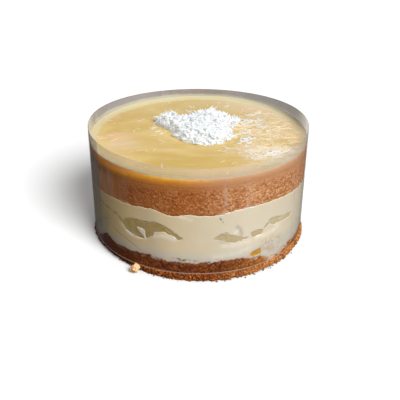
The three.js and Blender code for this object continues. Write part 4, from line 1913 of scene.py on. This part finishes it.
@dataclass
class LooseStrands:
    """Shreds that fell beside the heap, and thin strands half sunk in the jelly on the right."""

    named: tuple[tuple[float, ...], ...] = (
        # x, y, turn in degrees, length, width
        (31, -15, 12, 7.5, 2), (33.5, -12.5, -8, 6.5, 1.8), (29, -11, 70, 4, 1.5),
        (34, -17.5, 30, 5, 1.6), (27.5, -19, 5, 3.5, 1.2), (36, 2, 60, 5, 1),
        (41.5, 14.5, -35, 9.5, 0.9), (45.5, 9.5, -70, 7, 0.8), (36.5, 20.5, 10, 6.5, 0.8),
        (44, 17, 25, 5, 0.9), (42, 0.5, 20, 4, 0.8), (31, 8.5, 5, 3, 0.8),
        (49, 4.5, 15, 3, 1), (38, -4.5, -10, 3.2, 0.9), (-29, 2.5, 20, 4.5, 0.8),
        (-33, 8.5, 70, 3, 0.9), (-26, -2, 35, 3.5, 0.7), (12, 52, 25, 5.5, 0.7),
        (-8, 44, -30, 6.5, 0.9), (20, -27.5, -25, 9, 0.9), (27, -30, -38, 8, 0.8),
        (33, -34.5, -30, 8.5, 0.8), (40, -39, -12, 8, 1), (47, -38, 12, 9, 1.1),
        (54, -34.5, 24, 8.5, 1), (58.5, -30, 40, 7, 0.8), (50.5, -41.5, 8, 8, 0.9),
        (43.5, -34, 30, 6, 0.9), (37, -43.5, -5, 7, 0.8),
        (32.5, -9.8, 15, 6.5, 2), (36.4, -9.6, -20, 6, 1.8), (34, -8.2, 50, 4.5, 1.6),
        (32.6, 0.4, -15, 5, 1.6), (34.6, 4, 25, 5, 1.4), (27.4, -2.2, 10, 5, 1.5),
        (46.3, 11.4, -10, 4, 1.3), (42.6, 20.2, -50, 6, 1.2), (45.4, 26.6, -15, 6.5, 1.1),
        (40.6, 37.2, 10, 6, 1), (45.1, 40.1, 20, 6, 1), (36.3, 35.8, -20, 5, 1),
        (33, 26.5, -10, 8, 1.6), (35.5, 24.2, -25, 8, 1.5), (37.8, 23.2, 5, 7, 1.4),
        (41.4, 24.2, -12, 7.5, 1.3), (31, 21, 30, 7, 1.7), (32.2, 17, -35, 6, 1.5),
        (35, 13, -20, 5, 1.2), (33.6, -24.3, -30, 6, 1.2), (46.8, -34.5, 10, 6.5, 1.4),
        (41.3, -39.7, -5, 6.5, 1.3), (51.1, -32.5, 20, 7, 1.4), (35.2, -36.8, -15, 5, 1.2),
        (-5.7, 53.3, -30, 6, 1.1), (21.5, 55.1, 25, 4, 0.9), (-32.9, 8.2, 10, 5, 1.3),
    )
    segments: int = 10
    scatter: Scatter = Scatter(per_cm2=14, smallest=0.5, largest=1.1, tilt=2, seed=61)
    thick: tuple[Mound, ...] = (
        Mound(47, -4, 17, 34), Mound(48, -36, 14, 9, 1.6), Mound(34, 12, 9, 12, 2.4))
    finish: CoconutFinish = CoconutFinish("coconut_loose", rough=0.45)
    sunk_finish: CoconutFinish = CoconutFinish(
        "coconut_sunk", white=linear(234, 214, 180), shade=linear(226, 198, 150), rough=0.3)

    def build(self) -> tuple[Piece, Piece]:
        """Return the loose shreds and the sunk strands."""
        return self._loose(), self._sunk()

    def _loose(self) -> Piece:
        """Return the shreds that lie beside the heap.

        Returns:
            One object.
        """
        draw = np.random.default_rng(53)
        points, faces = [], []
        for x, y, turn, length, width in self.named:
            shred = Shred(length, width, draw.uniform(0.1, 0.35), draw.uniform(-0.6, 0.6),
                          draw.uniform(-0.8, 0.8), segments=self.segments)
            corners = shred.points().reshape(-1, 3)
            angle = math.radians(turn)
            flat = corners[:, :2] @ np.array([[math.cos(angle), math.sin(angle)],
                                              [-math.sin(angle), math.cos(angle)]])
            lift = corners[:, 2] - corners[:, 2].min() + JELLY_TOP - 0.12
            faces += Shred.faces(self.segments + 1, sum(len(p) for p in points))
            points.append(np.column_stack([flat + (x, y), lift]))
        every = np.vstack(points)
        return mesh_object("coconut_loose", every, faces, {"tint": draw.random(len(every))},
                           self.finish.material())

    def _sunk(self) -> Piece:
        """Return the thin strands on the jelly, thickest on the right.

        Returns:
            One object.
        """
        points, faces = flat_grid(73.0, 74, JELLY_TOP + 0.02)
        x, y = points[:, 0], points[:, 1]
        strewn = 0.03 + sum(patch.at(x, y) for patch in self.thick)
        cover = np.where(np.hypot(x, y) < 70, strewn, 0)
        host = mesh_object("strand_host", points, faces, {"cover": cover})
        kit = shred_kit("strand", 8, (5.0, 11.0), (0.28, 0.55), 0.02, 59)
        return self.scatter.strew("coconut_strands", host, kit, self.sunk_finish.material())


@dataclass
class FootCrumbs:
    """Loose crumbs along the foot of the base, and the pale one that fell off on the left."""

    base: BaseSponge
    columns: int = 480
    scatter: Scatter = Scatter(per_cm2=50, smallest=0.5, largest=1.7, tilt=180, seed=71)
    pale_at: Triple = (-31.6, 79.4, 2.9)  # angle, distance, height
    pale_size: float = 3.3
    pale_tint: float = 0.2
    finish: CrumbFinish = CrumbFinish(
        "crumb_golden", pale=linear(188, 112, 42), dark=linear(112, 54, 14),
        light=linear(192, 154, 118))
    pale_finish: CrumbFinish = CrumbFinish(
        "crumb_pale", pale=linear(248, 206, 154), dark=linear(224, 152, 100),
        light=linear(248, 206, 154))

    @staticmethod
    def _lump(name: str, seed: int, size: float, divisions: int, rough: float) -> Piece:
        """Return one uneven crumb about the origin.

        Args:
            name: the object's name.
            seed: of its shape.
            size: its radius in mm.
            divisions: how fine its mesh is.
            rough: how uneven it is.

        Returns:
            The crumb.
        """
        shell = bmesh.new()
        bmesh.ops.create_icosphere(shell, subdivisions=divisions, radius=1.0)
        draw = np.random.default_rng(seed)
        squash = draw.uniform(0.65, 1.1, 3)
        grain = Grain(seed)
        points = np.array([v.co for v in shell.verts])
        swell = 1 + rough * grain.layered(points, 0.9, 3)
        points = points * swell[:, None] * squash * size
        faces = [[v.index for v in f.verts] for f in shell.faces]
        shell.free()
        return mesh_object(name, points, faces)

    def build(self) -> tuple[Piece, Piece]:
        """Return the golden crumbs and the pale crumb.

        Returns:
            The two objects.
        """
        angles = np.arange(self.columns) * 360 / self.columns
        heights = np.array([4.3, 3.6, 2.8, 1.9, 1.0, 0.5])[:, None]
        wall = PRESSED_RADIUS + self.base.foot(angles, heights) - 0.2
        outer = wall[-1] + np.array([0.5, 2.4])[:, None]
        radius = np.vstack([wall, outer])
        height = stack(heights, 0.35, 0.3, columns=self.columns)
        front = 0.25 + np.exp(-(apart(angles, 12) / 40) ** 2)
        cover = np.vstack([front + 0 * heights, front * 0.22, front * 0.02])
        n = self.columns
        faces = [(i * n + j, (i + 1) * n + j, (i + 1) * n + (j + 1) % n, i * n + (j + 1) % n)
                 for i in range(len(radius) - 1) for j in range(n)]
        host = mesh_object("crumb_host", around(angles, radius, height).reshape(-1, 3), faces,
                           {"cover": cover})
        kit = [self._lump(f"crumb_{i}", 70 + i, 0.55, 2, 0.5) for i in range(6)]
        golden = self.scatter.strew("foot_crumbs", host, kit, self.finish.material())
        for corner in golden.data.vertices:
            corner.co.z = max(corner.co.z, 0.0001)
        return golden, self._pale()

    def _pale(self) -> Piece:
        """Return the pale crumb, on the ground against the foot.

        Returns:
            The crumb.
        """
        pale = self._lump("crumb_pale", 83, self.pale_size, 5, 0.75)
        place = around(*(np.array(number) for number in self.pale_at)) * MM
        for corner in pale.data.vertices:
            corner.co = corner.co + Vector(place)
            corner.co.z = max(corner.co.z, 0.0002)
        write_mark(pale.data, "tint", np.full(len(pale.data.vertices), self.pale_tint))
        pale.data.materials.append(self.pale_finish.material())
        return pale


@dataclass
class FilmCollar:
    """The clear collar: one strip on edge, wound once round and lapped over its inner end."""

    inner_face: float = 75.72
    thickness: float = 0.25
    lap_rise: float = 0.3
    side_rise: float = 0.8  # the film's top edge stands this much higher at the sides
    back_drop: float = 1.2  # and this much lower in front and behind
    inner_end: float = 258.0
    turns: float = 403.0
    step_out: float = 25.0
    stations: int = 820
    cuts: int = 8
    wobble: float = 0.08
    # Painted reflections: upright streaks and two small glints, where the film's haze is raised.
    streaks: tuple[Stroke, ...] = strokes(
        (7.0, 0.9, (-66, 66), (-66, 47)),
        (3.2, 0.7, (-62, 76), (-38, 76)),
        (1.3, 0.5, (-62, 70), (-62.5, 30)),
        (1.6, 0.55, (-49, 68), (-49.5, 54)),
        (0.8, 0.4, (-56, 69), (-56, 50)),
        (1.1, 0.3, (-38, 62), (-38, 55)),
        (1.3, 0.5, (12, 70), (13.5, 50)),
        (1.0, 0.45, (24.6, 69), (25, 54)),
        (0.6, 1.0, (27.5, 69.4), (28.6, 70.0)),
        (0.6, 1.0, (30.3, 70.6), (31.4, 70.2)),
        (0.8, 0.5, (58, 72), (58, 12)),
        (1.2, 0.4, (70, 72), (70, 12)),
        (1.2, 0.35, (150, 72), (150, 20)),
        (1.5, 0.35, (205, 72), (205, 30)),
    )
    finish: FilmFinish = FilmFinish()

    def build(self) -> Piece:
        """Build the collar.

        Returns:
            The strip, wound and lapped.
        """
        host = mesh_object("film_host", np.zeros((1, 3)), [])
        shape = Shape(
            "film_winding", InnerFace=self.inner_face * MM, Thickness=self.thickness * MM,
            LapRise=self.lap_rise * MM, InnerEnd=self.inner_end, Turns=self.turns,
            StepOut=self.step_out, Bottom=FILM_BOTTOM * MM, Width=FILM_WIDTH * MM,
            Stations=self.stations, Cuts=self.cuts, Wobble=self.wobble * MM,
            SideRise=self.side_rise * MM, BackDrop=self.back_drop * MM,
        )
        given = shape.given
        line = shape.value("GeometryNodeCurvePrimitiveLine", None, {"End": (1.0, 0.0, 0.0)})
        line = shape.value("GeometryNodeResampleCurve", None,
                           {"Curve": line, "Count": given("Stations")})
        index = shape.value("GeometryNodeInputIndex")
        swept = index / (given("Stations") - 1) * given("Turns")
        begun = (swept - (360 - given("StepOut"))) / given("StepOut")
        begun = begun.most(0.0).least(1.0)
        climbed = begun * begun * (3 - 2 * begun)
        radius = given("InnerFace") + given("Thickness") * 0.5 + given("LapRise") * climbed
        turn = (given("InnerEnd") + swept) * (math.pi / 180)
        place = shape.value("ShaderNodeCombineXYZ", None, {
            "X": radius * turn.sine(), "Y": -(radius * turn.cosine()),
            "Z": given("Bottom") + given("Width") * 0.5})
        wound = shape.value("GeometryNodeSetPosition", None, {"Geometry": line, "Position": place})
        wound = shape.value("GeometryNodeSetCurveNormal", {"mode": "Z_UP"}, {"Curve": wound})
        section = shape.value("GeometryNodeCurvePrimitiveQuadrilateral", None,
                              {"Width": given("Thickness"), "Height": given("Width")})
        section = shape.value("GeometryNodeSubdivideCurve", None,
                              {"Curve": section, "Cuts": given("Cuts")})
        strip = shape.value("GeometryNodeCurveToMesh", None,
                            {"Curve": wound, "Profile Curve": section, "Fill Caps": True})
        at = shape.value("GeometryNodeInputPosition")
        x, y, z = shape.parts(at)
        drift = shape.value("ShaderNodeTexNoise", None,
                            {"Vector": at, "Scale": 38.0, "Detail": 1.0}, "Fac")
        push = drift * given("Wobble") / given("InnerFace")
        free = ((z - JELLY_TOP * MM) / ((FILM_BOTTOM + FILM_WIDTH - JELLY_TOP) * MM)).most(0.0)
        facing = y * y / (x * x + y * y)
        lift = given("SideRise") - (given("SideRise") + given("BackDrop")) * facing
        outwards = shape.value("ShaderNodeCombineXYZ", None,
                               {"X": x * push, "Y": y * push, "Z": free * lift})
        strip = shape.value("GeometryNodeSetPosition", None,
                            {"Geometry": strip, "Offset": outwards})
        film = shape.bake("film_strip", strip, host, self.finish.material())
        film.data.shade_smooth()
        film.data.set_sharp_from_angle(angle=math.radians(40))
        self._mark_reflection_streaks(film)
        return film

    def _mark_reflection_streaks(self, film: Piece) -> None:
        """Mark the painted reflections: soft upright streaks and glints on the film.

        Args:
            film: the collar, which takes the attribute.
        """
        places = np.zeros(len(film.data.vertices) * 3)
        film.data.vertices.foreach_get("co", places)
        x, y, z = places.reshape(-1, 3).T / MM
        angles = np.degrees(np.arctan2(x, -y))
        write_mark(film.data, "reflection_streak", drawn(self.streaks, angles, z))


# ---- studio


@dataclass
class Studio:
    """The plain pale floor, the soft lights and the photograph's camera."""

    lamps: tuple[tuple[str, float, float, float, float], ...] = (
        # name, angle round the cake, height in degrees, strength, width in degrees
        ("key", 35, 42, 4.3, 30), ("back", 200, 62, 0.45, 50),
    )
    sky_strength: float = 0.24
    ground_share: float = 0.3  # of the sky's light that comes up from below
    lens: float = 56.8878
    elevation: float = 25.4424
    distance: float = 0.4590221
    pivot_height: float = 0.0403
    aim: Triple = (0.0013034, 0.0, 0.0186234)
    roll: float = 0.3403
    sensor_width: float = 36.0
    clip: tuple[float, float] = (0.01, 20.0)
    floor_half: float = 3000.0
    floor_finish: FloorFinish = FloorFinish()

    def build(self) -> None:
        """Make the studio."""
        self._floor()
        self._lights()
        self._camera()

    def _floor(self) -> None:
        """Make the floor, unseen by diffuse and glossy rays."""
        points, faces = flat_grid(self.floor_half, 13, 0.0)
        floor = mesh_object("floor", points, faces, None, self.floor_finish.material())
        floor.visible_diffuse = floor.visible_glossy = False

    def _sun(self, name: str, azimuth: float, elevation: float, strength: float,
             spread: float) -> None:
        """Hang a soft far light over an angle round the cake.

        Args:
            name: its name.
            azimuth: the angle round the cake that it comes from.
            elevation: its height in degrees.
            strength: its strength.
            spread: its width in degrees, which softens its shadows.
        """
        light = bpy.data.lights.new(name, "SUN")
        light.energy = strength
        light.angle = math.radians(spread)
        lamp = add_object(name, light)
        level = math.cos(math.radians(elevation))
        turn = math.radians(azimuth)
        towards = Vector((level * math.sin(turn), -level * math.cos(turn),
                          math.sin(math.radians(elevation))))
        lamp.rotation_mode = "QUATERNION"
        lamp.rotation_quaternion = towards.to_track_quat("Z", "Y")

    def _lights(self) -> None:
        """Make the key light, a weak back light and the sky."""
        for lamp in self.lamps:
            self._sun(*lamp)
        world = bpy.data.worlds.new("studio_sky")
        world.use_nodes = True
        sky = Recipe(world.node_tree)
        world.node_tree.nodes.clear()
        upwards = sky.parts(sky.value("ShaderNodeTexCoord", output="Generated"))[2]
        share = self.ground_share + (1 - self.ground_share) * upwards.rise(-0.1, 0.1)
        light = sky.value("ShaderNodeBackground", None,
                          {"Color": (1.0, 1.0, 1.0), "Strength": share * self.sky_strength})
        sky.node("ShaderNodeOutputWorld", None, {"Surface": light})
        scene = bpy.context.scene
        scene.world = world
        scene.view_settings.view_transform = "Standard"

    def _camera(self) -> None:
        """Put the camera where the photograph was taken from."""
        data = bpy.data.cameras.new("photo_camera")
        data.lens = self.lens
        data.sensor_width = self.sensor_width
        data.clip_start, data.clip_end = self.clip
        camera = add_object("photo_camera", data)
        tilt = math.radians(self.elevation)
        camera.location = (0.0, -math.cos(tilt) * self.distance,
                           math.sin(tilt) * self.distance + self.pivot_height)
        looking = (Vector(self.aim) - camera.location).to_track_quat("-Z", "Y")
        camera.rotation_mode = "QUATERNION"
        camera.rotation_quaternion = looking @ Quaternion((0, 0, 1), math.radians(self.roll))
        bpy.context.scene.camera = camera


# ---- putting it together


def settle(piece: Piece, slot: str, *nodes: str) -> None:
    """Ride a finished piece on the cake's body, in the place of its nodes, and report it.

    Args:
        piece: the finished piece.
        slot: a material slot's name, which is not used.
        nodes: the CAD nodes that it stands for.
    """
    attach(piece, BODY)
    if nodes:
        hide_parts(*nodes)
    piece.data.calc_loop_triangles()
    log.info("%s: %d triangles", piece.name, len(piece.data.loop_triangles))


def main() -> None:
    """Build the cake from the bottom up, then the studio."""
    logging.basicConfig(level=logging.INFO, format="%(name)s %(message)s")
    base = BaseSponge()
    settle(base.build(), "base_sponge", "base_sponge")
    settle(CreamFilling().build(), "cream", "cream_filling")
    flesh = FruitFinish().material()
    for fruit in FRUIT:
        settle(fruit.build(flesh), "pineapple", fruit.node)
    settle(UpperSponge().build(), "upper_sponge", "upper_sponge")
    settle(JellyTop().build(), "jelly", "jelly_top")
    for piece in CoconutHeap().build():
        settle(piece, "coconut", "coconut_heap")
    for piece in LooseStrands().build():
        settle(piece, "coconut")
    for piece in FootCrumbs(base).build():
        settle(piece, "base_sponge")
    settle(FilmCollar().build(), "film", "film_collar")
    Studio().build()


if __name__ == "__main__":
    main()
